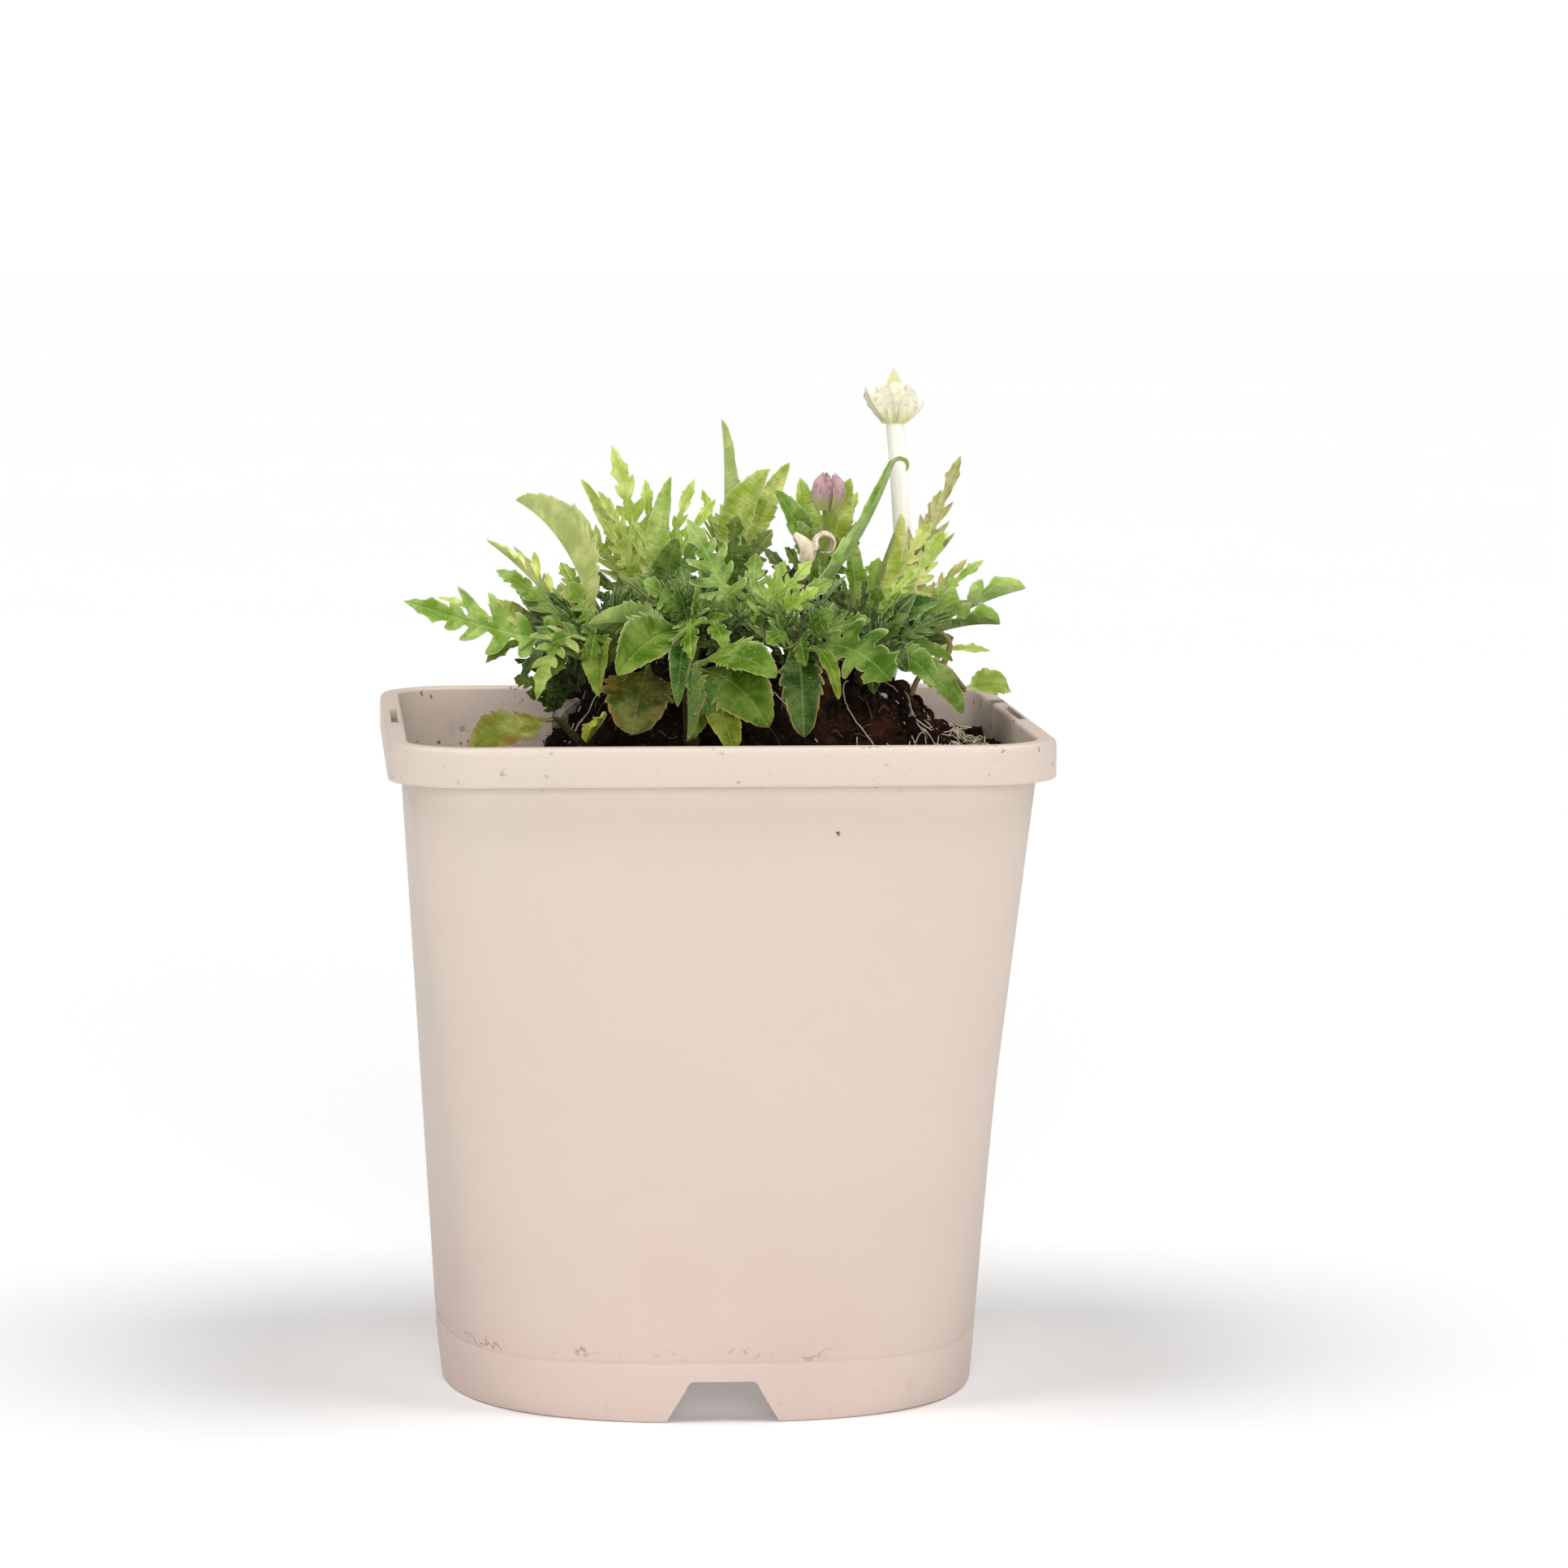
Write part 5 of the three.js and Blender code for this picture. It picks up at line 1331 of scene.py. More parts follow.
def outline(kind, width, seed):
    """Columns of a leaf: places on the rib, places and half widths at both edges, and lobe numbers."""
    shape = shape_of(kind, width)
    half_width = width / 2
    count, first, last = shape["lobes"], shape["first"], shape["last"]

    def envelope(place):
        return float(np.interp(place, [p for p, _ in shape["envelope"]], [w for _, w in shape["envelope"]]))

    def notch(place):
        return max(STALK_HALF, envelope(place) * (1 - shape["cut"]) * half_width)

    deep = "fill" in shape
    steps = LOBE_POINTS if deep else len(shape["rises"])
    rib, lobe = list(STALK_PLACES), [0.0, 0.0, 0.0]
    edges = [list(STALK_PLACES) for _ in range(2)]
    halves = [[0.0, STALK_HALF, STALK_HALF] for _ in range(2)]
    spacing = (last - first) / count
    for i in range(count):
        centre = first + (i + 0.5) * spacing
        low, high = notch(centre - spacing / 2), notch(centre + spacing / 2)
        lean = shape["lean"] * (0.45 + 1.1 * i / count)
        top = envelope(centre + lean)
        for k in range(steps):
            part = k / steps
            lobe.append(i + part)
            if deep:
                rib.append(centre - spacing / 2 * math.cos(math.pi * part))
                rise = math.sin(math.pi * part)
                back = shape["fill"] * lobe_half(shape, rise) * (1 if part < 0.5 else -1)
            else:
                rib.append(centre + spacing * (part - 0.5))
                rise = shape["rises"][k]
            for side in range(2):
                size = 1 - shape["vary"] * (noise(seed + 7, i + 5 * side) - 0.25)
                base = mix(low, high, part)
                reach = mix(base, max(base, top * half_width * size), rise)
                if deep:
                    slip = spacing * shape["slip"] * (noise(seed + 11, i + 9 * side) - 0.5) * rise
                    ahead = lean * (reach / half_width) ** 1.4
                    edges[side].append(centre - spacing / 2 * back + slip + ahead)
                else:
                    edges[side].append(rib[-1] + 0.35 * spacing * rise)
                halves[side].append(reach)
    for k in range(1, TIP_POINTS):
        x = k / TIP_POINTS
        rib.append(last + (1 - last) * x)
        lobe.append(count + 0.45 * math.sin(math.pi * x))
        swell = min(1, x / 0.3) ** 0.8 * (1 - x) ** shape["end"] * 1.25
        for side in range(2):
            tooth = 1 + (shape["tooth"] * (1 if (k + side) % 3 == 1 else -1) if deep else 0)
            body = notch(last) * (1 - x) ** 0.9 + shape["tip"] * half_width * swell * tooth
            edges[side].append(rib[-1])
            halves[side].append(max(THINNEST, body))
    rib.append(1.0)
    lobe.append(count + 0.0)
    for side in range(2):
        edges[side].append(1.0)
        halves[side].append(0.0)
    return np.array(rib), np.array(edges), np.array(halves), np.array(lobe)


print("columns of a cut leaf:", len(outline("cut", 12, 1)[0]))

# %% [markdown]
# ## The leaf blade
#
# The CAD gives each leaf a base, a tip, a bow, a turn and a fold. The blade follows the same curve. Columns
# of points run from the rib to the edge on both sides, once for the upper and once for the lower skin, and
# the two skins meet at the edge. On top of the CAD's form come small lifts: lobes cupped along their veins,
# each bent a little up or down, and a slow wave along the edge.

# %% Follow a leaf's curve
MIDDLE_SHARE = 0.45
HOOK_TURN = 2.4


def leaf_frame(base, tip, bow, turn, hook=0.0):
    """The CAD's curve of a leaf: place, face direction and side direction at shares t of its length.

    With a hook, a radius in millimetres, the last part rolls over towards the back of the leaf.
    """
    start, end = np.array(base, float), np.array(tip, float)
    span = end - start
    length = np.linalg.norm(span)
    u = span / length
    face = unit(np.array([0.0, -1.0, 0.0]) + u * u[1])
    across = np.cross(u, face)
    if across[2] < 0:
        across = -across
    turn = math.radians(turn)
    normal = face * math.cos(turn) + across * math.sin(turn)
    up = unit(np.array([0.0, 0.0, 1.0]) - u * u[2])
    middle = start + MIDDLE_SHARE * span + up * bow * length

    def at(t):
        t = np.clip(t, 0, 1)[:, None]
        place = start * (1 - t) ** 2 + middle * 2 * t * (1 - t) + end * t * t
        along = (middle - start) * (1 - t) + (end - middle) * t
        along /= np.linalg.norm(along, axis=1)[:, None]
        n = normal - along * (along @ normal)[:, None]
        n /= np.linalg.norm(n, axis=1)[:, None]
        return place, n, np.cross(along, n)

    def hooked(t):
        reach = np.asarray(t) * (length + HOOK_TURN * hook)
        hold = at(np.minimum(reach, length - hook) / length)
        angle = (np.maximum(reach - length + hook, 0) / hook)[:, None]
        along = np.cross(hold[1], hold[2])
        place = hold[0] + along * np.sin(angle) * hook - hold[1] * (1 - np.cos(angle)) * hook
        return place, hold[1] * np.cos(angle) + along * np.sin(angle), hold[2]

    return (hooked if hook else at), length


print("length of a sample leaf:", round(leaf_frame((0, 0, 0), (40, 0, 10), 0.1, 30)[1], 1))

# %% Build a leaf blade
ACROSS = [0.0, 0.14, 0.42, 0.74, 1.0]
INNER_ACROSS = [0.0, 0.3, 1.0]
BLADE_THICK = 0.34
RIB_RIDGE = 0.34
CURL_FROM = 0.72
CURL = -0.22
LOBED_FORM = {"wave": 0.25, "bend": 2.4, "cup": 1.0}
PLAIN_FORM = {"wave": 0.5, "bend": 0.5, "cup": 0.3}


def blade(kind, base, tip, width, bow, turn, fold, seed, across=ACROSS, hook=0.0):
    """Points, faces, places on the leaf and upper or lower side of one leaf."""
    at, length = leaf_frame(base, tip, bow, turn, hook)
    rib, edges, halves, lobe = outline(kind, width, seed)
    columns, rows, half_width = len(rib), len(across), width / 2
    points, places, unders, ids = [], [], [], {}
    form = LOBED_FORM if "fill" in shape_of(kind, width) else PLAIN_FORM
    for side in range(2):
        sign = 1 - 2 * side
        for row, share in enumerate(across):
            w = halves[side] * share
            place, n, s = at(rib + (edges[side] - rib) * share ** 0.75)
            bend = np.array([noise(seed + 3, int(v) + 7 * side) - 0.42 for v in lobe]) * form["bend"]
            cup = 0.6 * np.abs(2 * (lobe % 1) - 1) * share * (w / half_width) * form["cup"]
            wave = form["wave"] * np.sin(lobe * 1.9 + seed + 2 * side) * (w / half_width) ** 2
            lift = fold * w + bend * (w / half_width) ** 2 + cup + wave
            curl = 0 if hook else CURL * length * np.clip(rib - CURL_FROM, 0, 1) ** 2
            middle = place + s * (sign * w)[:, None] + n * (lift + curl)[:, None]
            thick = BLADE_THICK / 2 * (1 - share ** 3)
            ridge = RIB_RIDGE * (1 - rib) * (1.0 if row == 0 else 0.0)
            for layer in range(2):
                if row == rows - 1 and layer:
                    continue
                if row == 0 and side:
                    continue
                offset = thick - 0.1 * (row == 0) if layer == 0 else -thick - ridge
                moved = middle + n * np.broadcast_to(offset, rib.shape)[:, None]
                for j in range(columns):
                    if j in (0, columns - 1) and (row or layer or side):
                        continue
                    ids[side, row, layer, j] = len(points)
                    points.append(tuple(moved[j]))
                    places.append((lobe[j], w[j], share))
                    unders.append(0.5 if row == rows - 1 else float(layer))

    def index(side, row, layer, j):
        if j in (0, columns - 1):
            return ids[0, 0, 0, j]
        if row == 0:
            side = 0
        if row == rows - 1:
            layer = 0
        return ids[side, row, layer, j]

    faces = []
    for side in range(2):
        for layer in range(2):
            for row in range(rows - 1):
                for j in range(columns - 1):
                    loop = [index(side, row, layer, j), index(side, row + 1, layer, j),
                            index(side, row + 1, layer, j + 1), index(side, row, layer, j + 1)]
                    loop = [v for k, v in enumerate(loop) if v != loop[k - 1]]
                    if side != layer:
                        loop.reverse()
                    if len(set(loop)) > 2:
                        faces.append(tuple(dict.fromkeys(loop)))
    return points, faces, places, unders


sample = blade("cut", (0, 0, 0), (40, 0, 10), 12, 0.1, 30, 0.1, 1)
print("faces of a cut leaf:", len(sample[1]))

# %% [markdown]
# ## Where the leaves stand
#
# The rows are the CAD's, apart from a few tones and widths. A shoot has a name, a crown, a foot in the soil
# and its leaves. A leaf has its kind, tone, tip, width, bow, turn from the front in degrees and fold.
# Heights are above the rim. The shoots at the back follow a rule instead, with their leaves round the crown
# by the golden angle.

# %% List the shoots
SHOOTS = [
    ["shoot_left", [-22, -8, 14], [-19, -7], [
        ["cut", "mid", -61, -20, 25, 15, -0.06, 28, 0.15],
        ["cut", "light", -44, 0, 36, 10, 0.04, 80, 0.7],
        ["toothed", "light", -37.5, 8, 43.5, 13, 0.28, 95, 1.0],
        ["cut", "mid", -38, 14, 25, 8, 0.1, 30, 0.1],
        ["cut", "mid", -45, -14, 12, 8, 0.3, 60, 0.2],
        ["cut", "dark", -38, -20, 9, 7, 0.42, 60, 0.2],
        ["cut", "light", -35.5, -31, 6, 10, 0.5, 50, 0.2],
        ["cut", "mid", -25, -33, 14, 8, 0.3, 40, 0.2],
        ["cut", "mid", -34, 20, 21, 8, 0.05, 50, 0.2],
        ["cut", "light", -29, 2, 31, 9, 0.05, 30, 0.2],
        ["cut", "light", -33, -3, 20, 8, 0.1, 40, 0.2],
        ["cut", "mid", -42, 10, 29, 9, 0.08, 30, 0.2],
        ["cut", "mid", -33, -27, 10, 9, 0.3, 40, 0.2],
        ["cut", "light", -28, -14, 28, 9, 0.08, 20, 0.1],
        ["toothed", "light", -23.5, -34, 7, 8, 0.38, 40, 0.3],
        ["cut", "mid", -32, -26, 17, 8, 0.15, 50, 0.2],
    ]],
    ["shoot_left_top", [-10, 10, 17], [-9, 9], [
        ["cut", "light", -18, 14, 54, 11, 0.05, 10, 0.1],
        ["lance", "light", -24, 16, 47, 5, 0.05, 30, 0.2],
        ["feather", "young", -21, 8, 45, 9, 0.1, 40, 0.1],
        ["toothed", "light", -7, 2, 48, 7, 0.02, 40, 0.6],
        ["feather", "young", -11, 14, 47, 9, 0.05, 20, 0.1],
        ["feather", "young", -15, 20, 43, 9, 0.06, 40, 0.1],
        ["feather", "young", -1, 17, 47, 8, 0.06, 30, 0.1],
        ["feather", "young", 3, 12, 43, 8, 0.1, 30, 0.1],
        ["feather", "young", -25, 22, 36, 9, 0.14, 30, 0.1],
        ["feather", "young", -21, -2, 40, 9, 0.08, 30, 0.1],
        ["toothed", "mid", -6, -5, 36, 8, 0.05, 15, 0.1],
        ["cut", "mid", 0, -2, 37, 9, 0.08, 20, 0.1],
        ["feather", "young", -27, 17, 42, 8, 0.05, 30, 0.1],
    ]],
    ["shoot_front_left", [-4, -18, 18], [-4, -16], [
        ["toothed", "light", -25.5, -34, 21.5, 9, 0.08, 152, 0.35],
        ["toothed", "mid", -20, -42, 12, 13, 0.2, 35, 0.5],
        ["cut", "mid", -6, -46, 15, 11, 0.35, 60, 0.15],
        ["cut", "mid", 1, -42, 17, 9, 0.34, 60, 0.15],
        ["cut", "dark", 3, -12, 32, 11, 0.1, 20, 0.1],
        ["cut", "dark", -6, -14, 31, 9, 0.1, 20, 0.1],
        ["lance", "light", -4, -32, 28, 4, 0.1, 50, 0.3],
        ["cut", "mid", -14, -24, 29, 9, 0.14, 30, 0.1],
        ["toothed", "deep", -9, -50, 6.5, 6, 0.3, 30, 0.3],
        ["cut", "mid", 2, -36, 23, 9, 0.2, 40, 0.2],
    ]],
    ["shoot_centre", [7, -22, 16], [6, -20], [
        ["cut", "mid", -5, -20, 41, 12, 0.04, 15, 0.1],
        ["feather", "young", 19, -28, 33, 9, 0.05, 20, 0.05],
        ["feather", "young", 20, -32, 28, 8, 0.06, 30, 0.05],
        ["feather", "young", 20, -31, 22, 8, 0.12, 40, 0.05],
        ["feather", "young", 14, -26, 33, 8, 0.04, 20, 0.05],
        ["cut", "mid", 9, -17, 34, 8, 0.04, 10, 0.1],
        ["cut", "mid", 2, -30, 26, 7, 0.1, 20, 0.1],
        ["lance", "mid", 38, -6, 52.5, 6, -0.22, 85, 0.7],
        ["cut", "mid", 24, -22, 29, 9, 0.08, 30, 0.1],
    ]],
    ["shoot_centre_back", [6, 18, 21], [6, 16], [
        ["lance", "light", 6, 26, 58.5, 6, -0.02, 90, 1.1],
        ["toothed", "light", 14, 14, 49, 12, 0.12, 50, 0.6],
        ["toothed", "light", 19, 22, 50, 7, 0.04, 30, 0.4],
        ["cut", "mid", 14, 5, 37, 9, 0.08, 20, 0.1],
        ["cut", "mid", 7, 6, 40, 9, 0.06, 20, 0.1],
        ["feather", "young", 2, 32, 44, 8, 0.06, 40, 0.1],
    ]],
    ["shoot_bud", [24, 12, 20], [22, 11], [
        ["toothed", "mid", 15, 7, 45, 9, 0.16, 44, 0.25],
        ["toothed", "light", 21, 17, 47, 8, 0.02, 20, 0.25],
        ["toothed", "light", 31, 16, 47, 8, 0.02, 20, 0.25],
        ["toothed", "mid", 19, 0, 39, 8, 0.1, 40, 0.2],
        ["cut", "mid", 33, 8, 39, 8, 0.05, 30, 0.1],
        ["feather", "young", 33, 21, 44, 8, 0.05, 30, 0.1],
    ]],
    ["shoot_right_centre", [31, -6, 14], [29, -6], [
        ["lance", "light", 39, -10, 41, 9, 0.06, -60, 0.7],
        ["lance", "mid", 29, -2, 37, 6, 0.02, 30, 0.4],
        ["feather", "light", 46, 0, 39, 10, 0.05, 30, 0.2],
        ["toothed", "dark", 46, -14, 24, 8, 0.12, 50, 0.3],
        ["feather", "young", 42, -8, 30, 8, 0.08, 30, 0.1],
        ["cut", "mid", 34, -16, 27, 8, 0.05, 30, 0.1],
        ["cut", "mid", 35, -3, 32, 9, 0.05, 20, 0.1],
        ["cut", "dark", 22, -24, 17, 9, 0.2, 30, 0.1],
    ]],
    ["shoot_right", [38, 2, 12], [35, 2], [
        ["feather", "red", 53, 10, 52, 9, 0.02, 18, 0.1],
        ["feather", "red", 49, 10, 45, 8, 0.04, 20, 0.1],
        ["cut", "light", 49, 3, 37, 9, 0.1, 20, 0.1],
        ["scallop", "mid", 64.4, -6, 26.2, 8.5, 0.08, 82, 1.0],
        ["scallop", "mid", 58.6, -12, 19.4, 7.5, 0.13, 82, 1.0],
        ["feather", "red", 54, 6, 31, 6, 0.05, 30, 0.1],
        ["cut", "mid", 51, -6, 24, 8, 0.12, 40, 0.1],
        ["feather", "young", 51, 15, 36, 8, 0.05, 30, 0.1],
        ["feather", "mid", 57, 3, 31, 7, 0.08, 30, 0.1],
    ]],
    ["shoot_low_right", [32, -18, 13], [30, -17], [
        ["lance", "mid", 43, -37, 9, 8, 0.26, 40, 0.3],
        ["lance", "mid", 49.5, -26, 2.5, 8, 0.3, 40, 0.3],
        ["lance", "dark", 37, -37, 12, 7, 0.24, 40, 0.25],
        ["lance", "mid", 49, -14, 12, 6, 0.22, 50, 0.3],
        ["cut", "dark", 30, -42, 8, 8, 0.3, 30, 0.2],
    ]],
    ["shoot_front_right", [16, -30, 15], [14, -27], [
        ["cutfew", "mid", 33, -46, 11, 15, 0.3, 35, 0.12],
        ["lance", "light", 22.5, -50, 7.7, 5, 0.4, 50, 0.2],
        ["oval", "dark", 15, -57, 1.2, 9, 0.3, 10, 0.1],
        ["cut", "mid", 9, -43, 18, 9, 0.3, 50, 0.1],
        ["cut", "mid", 16, -48, 14, 8, 0.4, 50, 0.1],
        ["cut", "mid", 30, -36, 22, 10, 0.16, 30, 0.1],
        ["cut", "mid", 22, -40, 24, 9, 0.14, 30, 0.1],
    ]],
    ["shoot_front", [-6, -38, 12.5], [-5, -34], [
        ["toothed", "mid", 10, -52, 12.3, 11, 0.3, 55, 0.2],
        ["toothed", "mid", 8.4, -55, 2.9, 14, 0.25, 15, 0.25],
        ["toothed", "mid", -7, -55, 0.2, 10, 0.3, -75, 0.9],
        ["toothed", "deep", -3, -52, 5, 8, 0.25, 25, 0.2],
        ["oval", "yellow", 1.6, -56, -1.5, 8, 0.2, 15, 0.2],
    ]],
    ["old_leaf_brown", [-13, -27, 12.6], [-12, -25], [
        ["oval", "brown", -17.5, -46, 0.7, 15, 0.15, 15, 0.15],
    ]],
    ["old_leaf_left", [-30.5, -28, 2.1], [-26, -26], [
        ["toothed", "yellow", -48.8, -42, -2.7, 13, 0.1, 55, 0.2],
    ]],
]
# The leaf whose tip stands here hooks over, with this radius in millimetres.
HOOKS = {(38, -6, 52.5): 1.5}
print("shoots placed one by one:", len(SHOOTS))

# %% Grow the back by a rule
BACK_SHOOTS = [
    ("shoot_back_left", (-27, 25, 4), (-24, 22), 75, 205),
    ("shoot_back", (2, 35, 6), (2, 32), 40, 140),
    ("shoot_back_right", (30, 29, 4), (27, 26), -25, 105),
]
BACK_LEAVES = 8
GOLDEN = 137.5
BACK_KINDS = ["cut", "toothed", "cut", "feather"]
BACK_TONES = ["mid", "light", "dark", "young"]
BACK_RISE = (12, 58)
BACK_LENGTH = (22, 14)
BACK_WIDTH = (8, 3)
BACK_SEED = 31
BACK_LIMIT = 62


def vary(least_and_more, a, b):
    """A fixed draw between the least value and what may be added to it."""
    least, more = least_and_more
    return least + more * noise(a, b)


def back_leaves(crown, start, end, seed):
    """Leaves round a crown by the golden angle, between two headings, held inside the rim."""
    leaves = []
    for i in range(BACK_LEAVES):
        share = ((i * GOLDEN) % 360) / 360
        heading = math.radians(mix(start, end, share))
        rise = math.radians(vary(BACK_RISE, seed, i + 1))
        length = vary(BACK_LENGTH, seed + 3, i + 1)
        out = length * math.cos(rise)
        tip = [crown[0] + out * math.cos(heading), crown[1] + out * math.sin(heading),
               crown[2] + length * math.sin(rise)]
        past = max(1, max(abs(tip[0]), abs(tip[1])) / BACK_LIMIT)
        leaves.append((BACK_KINDS[i % 4], BACK_TONES[i % 4], tip[0] / past, tip[1] / past, tip[2],
                       vary(BACK_WIDTH, seed + 5, i), 0.14, 60, 0.2))
    return leaves


all_shoots = [list(row) for row in SHOOTS]
for number, (name, crown, foot, start, end) in enumerate(BACK_SHOOTS):
    all_shoots.append([name, crown, foot, back_leaves(crown, start, end, BACK_SEED + number)])
print("shoots:", len(all_shoots), "leaves:", sum(len(leaves) for *_, leaves in all_shoots))

# %% [markdown]
# ## Growing a shoot
#
# A shoot is a short stem in the soil, a bundle of petioles that clasp it, and the blades. Where the CAD has
# a round crown, the real plant has those clasping petioles, so each leaf gets one: a tapering tube from
# inside the stem, round the crown and into the blade.

# %% Give each leaf its tone and its painted light
TONES = {
    "light": (158, 174, 60), "mid": (108, 138, 36), "dark": (56, 90, 24), "red": (142, 138, 58),
    "young": (160, 180, 56), "deep": (64, 110, 20), "brown": (92, 92, 26), "yellow": (150, 156, 44),
}
MIDDLE_X = 4
# From LOW_SHADE on, these numbers paint light and shade into each leaf's tone: darker, greener and less blue
# low down and in the middle, brighter, paler and bluer high up and far out.
LOW_SHADE = 0.55
HIGH_SHADE = 1.8
LEFT_SHADE = 0.6
RIGHT_SHADE = 0.9
CENTRE_RED = 0.85
HIGH_GREEN = 0.92
OUTER_GREEN = 0.88
LOW_BLUE = 0.12
HIGH_BLUE = 2.5
OUTER_BLUE = 2.8
HIGH_AT = 45
OUT_FROM, OUT_WIDTH = 20, 32
OUTER_FADES_FROM, OUTER_FADES_OVER = 28, 16
BRIGHTNESS = (0.84, 0.32)
WARMTH = (0.92, 0.2)


def leaf_tone(name, seed, x, height):
    """The tone of one leaf: its kind's colour, varied, with painted light and shade in it: paler where its
    tip stands high or far out, darker and greener low down and in the middle.
    """
    red, green, blue = rgb(*TONES[name])[:3]
    up = smooth(height / HIGH_AT)
    out = smooth((abs(x - MIDDLE_X) - OUT_FROM) / OUT_WIDTH)
    outer = RIGHT_SHADE if x > MIDDLE_X else LEFT_SHADE
    outer *= 1 - 0.9 * smooth((height - OUTER_FADES_FROM) / OUTER_FADES_OVER)
    bright = vary(BRIGHTNESS, seed, 2.5) * mix(LOW_SHADE, HIGH_SHADE, up) * (1 + outer * out)
    warm = vary(WARMTH, seed, 4.5) * mix(CENTRE_RED, 1, max(up, out))
    return (red * bright * warm, green * bright * mix(1, HIGH_GREEN, up) * mix(1, OUTER_GREEN, out),
            blue * bright * mix(mix(LOW_BLUE, HIGH_BLUE, up), OUTER_BLUE, out) / warm)


print("tone of a middle leaf:", [round(c, 3) for c in leaf_tone("mid", 1, 0, 20)])

# %% Set small leaves up each stem
INNER_LEAVES = 15
INNER_KINDS = ["feather", "cut", "feather", "toothed", "cut"]
INNER_TONES = ["mid", "dark", "young", "dark", "mid", "deep"]
INNER_RISE = (15, 55)
INNER_LENGTH = (11, 9)
INNER_WIDTH = (5.5, 3)
INNER_TURN = (20, 50)
# INNER_SHADE and INNER_SUNK darken the small leaves inside the plant: painted shade.
INNER_SHADE = (0.54, 0.64, 0.26)
INNER_SUNK = 12


def raised(point):
    """A point whose height is above the rim."""
    return (point[0], point[1], POT_HEIGHT + point[2])


def stem_line(crown, foot):
    """The stem's top, its foot on the soil and the direction down along it."""
    top = np.array(raised(crown), float)
    low = np.array([foot[0], foot[1], soil_height(*foot)], float)
    return top, low, unit(low - top)


def inner_leaves(number, crown, foot, radius):
    """Small leaves up the stem of one shoot: kind, tone, base, tip, width, bow and turn."""
    top, low, down = stem_line(crown, foot)
    height = np.linalg.norm(top - low)
    for i in range(INNER_LEAVES):
        seed = 900 + number * 31 + i
        heading = math.radians(i * GOLDEN + 40 * noise(seed, 1.5))
        rise = math.radians(vary(INNER_RISE, seed, 2.5))
        length = vary(INNER_LENGTH, seed, 3.5)
        out = np.array([math.cos(heading), math.sin(heading), 0.0])
        base = top + down * (height * 0.75 * noise(seed, 4.5)) + out * radius * 0.4
        tip = base + out * length * math.cos(rise) + np.array([0, 0, length * math.sin(rise)])
        yield (INNER_KINDS[i % len(INNER_KINDS)], INNER_TONES[i % len(INNER_TONES)], base, tip,
               vary(INNER_WIDTH, seed, 5.5), 0.12, vary(INNER_TURN, seed, 6.5), seed)


def add_leaf(shell, leaf, tone):
    """Adds a leaf, as blade() gives it, to the shell in its tone."""
    points, faces, places, unders = leaf
    shell.add(points, faces, 0, tone, places, unders)


def add_inner_leaves(shell, number, crown, foot, radius):
    for kind, tone, base, tip, width, bow, turn, seed in inner_leaves(number, crown, foot, radius):
        # Painted shade: the tone is taken as if lower down, then scaled by INNER_SHADE.
        own_tone = leaf_tone(tone, seed, tip[0], tip[2] - POT_HEIGHT - INNER_SUNK)
        add_leaf(shell, blade(kind, base, tip, width, bow, turn, 0.15, seed, INNER_ACROSS),
                 [share * c for share, c in zip(INNER_SHADE, own_tone)])


print("small leaves up a stem:", INNER_LEAVES)

# %% Grow the shoots
START = 0.68
CROWN_RADIUS = 2.8
SMALL_CROWN = 1.9
HOLE_DEPTH = 9.0
STEM_TAPER = [1, 1, 0.95, 0.75, 0.3]
PETIOLE_RADII = [1.15, 1.05, 0.85, 0.6, 0.3]
BUD_STALK = [(24, 12, 20), (25.2, 10.4, 32), (26, 9, 45 - 2.6 - 0.3)]
BUD_STALK_RADII = [1.0, 0.9, 0.9, 1.0, 1.3]
NO_INNER = {"shoot_front"}
SLOT_OF = {"light": "leaf_light", "young": "leaf_light", "mid": "leaf_green", "dark": "leaf_dark",
           "deep": "leaf_dark", "red": "leaf_red_green", "brown": "leaf_brown", "yellow": "leaf_yellow"}


def shoot_shell(number, name, crown, foot, leaves):
    """All pieces of one shoot in one shell. Slot 0 is the leaf, slot 1 its stalks."""
    shell = Shell()
    many = len(leaves) > 1
    size, radius, slim = (CROWN_RADIUS, 1.5, 1.0) if many else (SMALL_CROWN, 0.7, 0.6)
    top, low, down = stem_line(crown, foot)
    path = smooth_path([low + down * (HOLE_DEPTH - GAP), low, (low + top) / 2, top + down * 1.5, top], 4)
    shell.add(*tube(path, [radius * share for share in STEM_TAPER], 14, ribs=5, rib_depth=0.07), slot=1)
    for i, (kind, tone, x, y, z, width, bow, turn, fold) in enumerate(leaves):
        seed = number * 17 + i
        tip = raised((x, y, z))
        away = np.array([x - crown[0], y - crown[1], z - crown[2]], float)
        away[2] += 1.6 * max(0, bow) * np.linalg.norm(away)
        away = unit(away) * START * size
        start = top + away
        leaf = blade(kind, start, tip, width, bow, turn, fold, seed, hook=HOOKS.get((x, y, z), 0.0))
        add_leaf(shell, leaf, leaf_tone(tone, seed, x, z))
        out = unit(np.array([away[0], away[1], 0.05]))
        into, face_out, _ = leaf_frame(start, tip, bow, turn)[0](np.array([0.1, 0.22]))
        sunk = top + down * (4 + 5 * noise(seed, 8.1)) + out * radius * 0.35
        hip = top + down * (0.8 + 2.2 * noise(seed, 9.3)) + out * min(radius, 1.4)
        clasp = [sunk, hip, start, into[0] - face_out[0] * 0.2, into[1] - face_out[1] * 0.3]
        shell.add(*tube(smooth_path(clasp, 3), [r * slim for r in PETIOLE_RADII], 7), slot=1)
    if many and name not in NO_INNER:
        add_inner_leaves(shell, number, crown, foot, radius)
    return shell


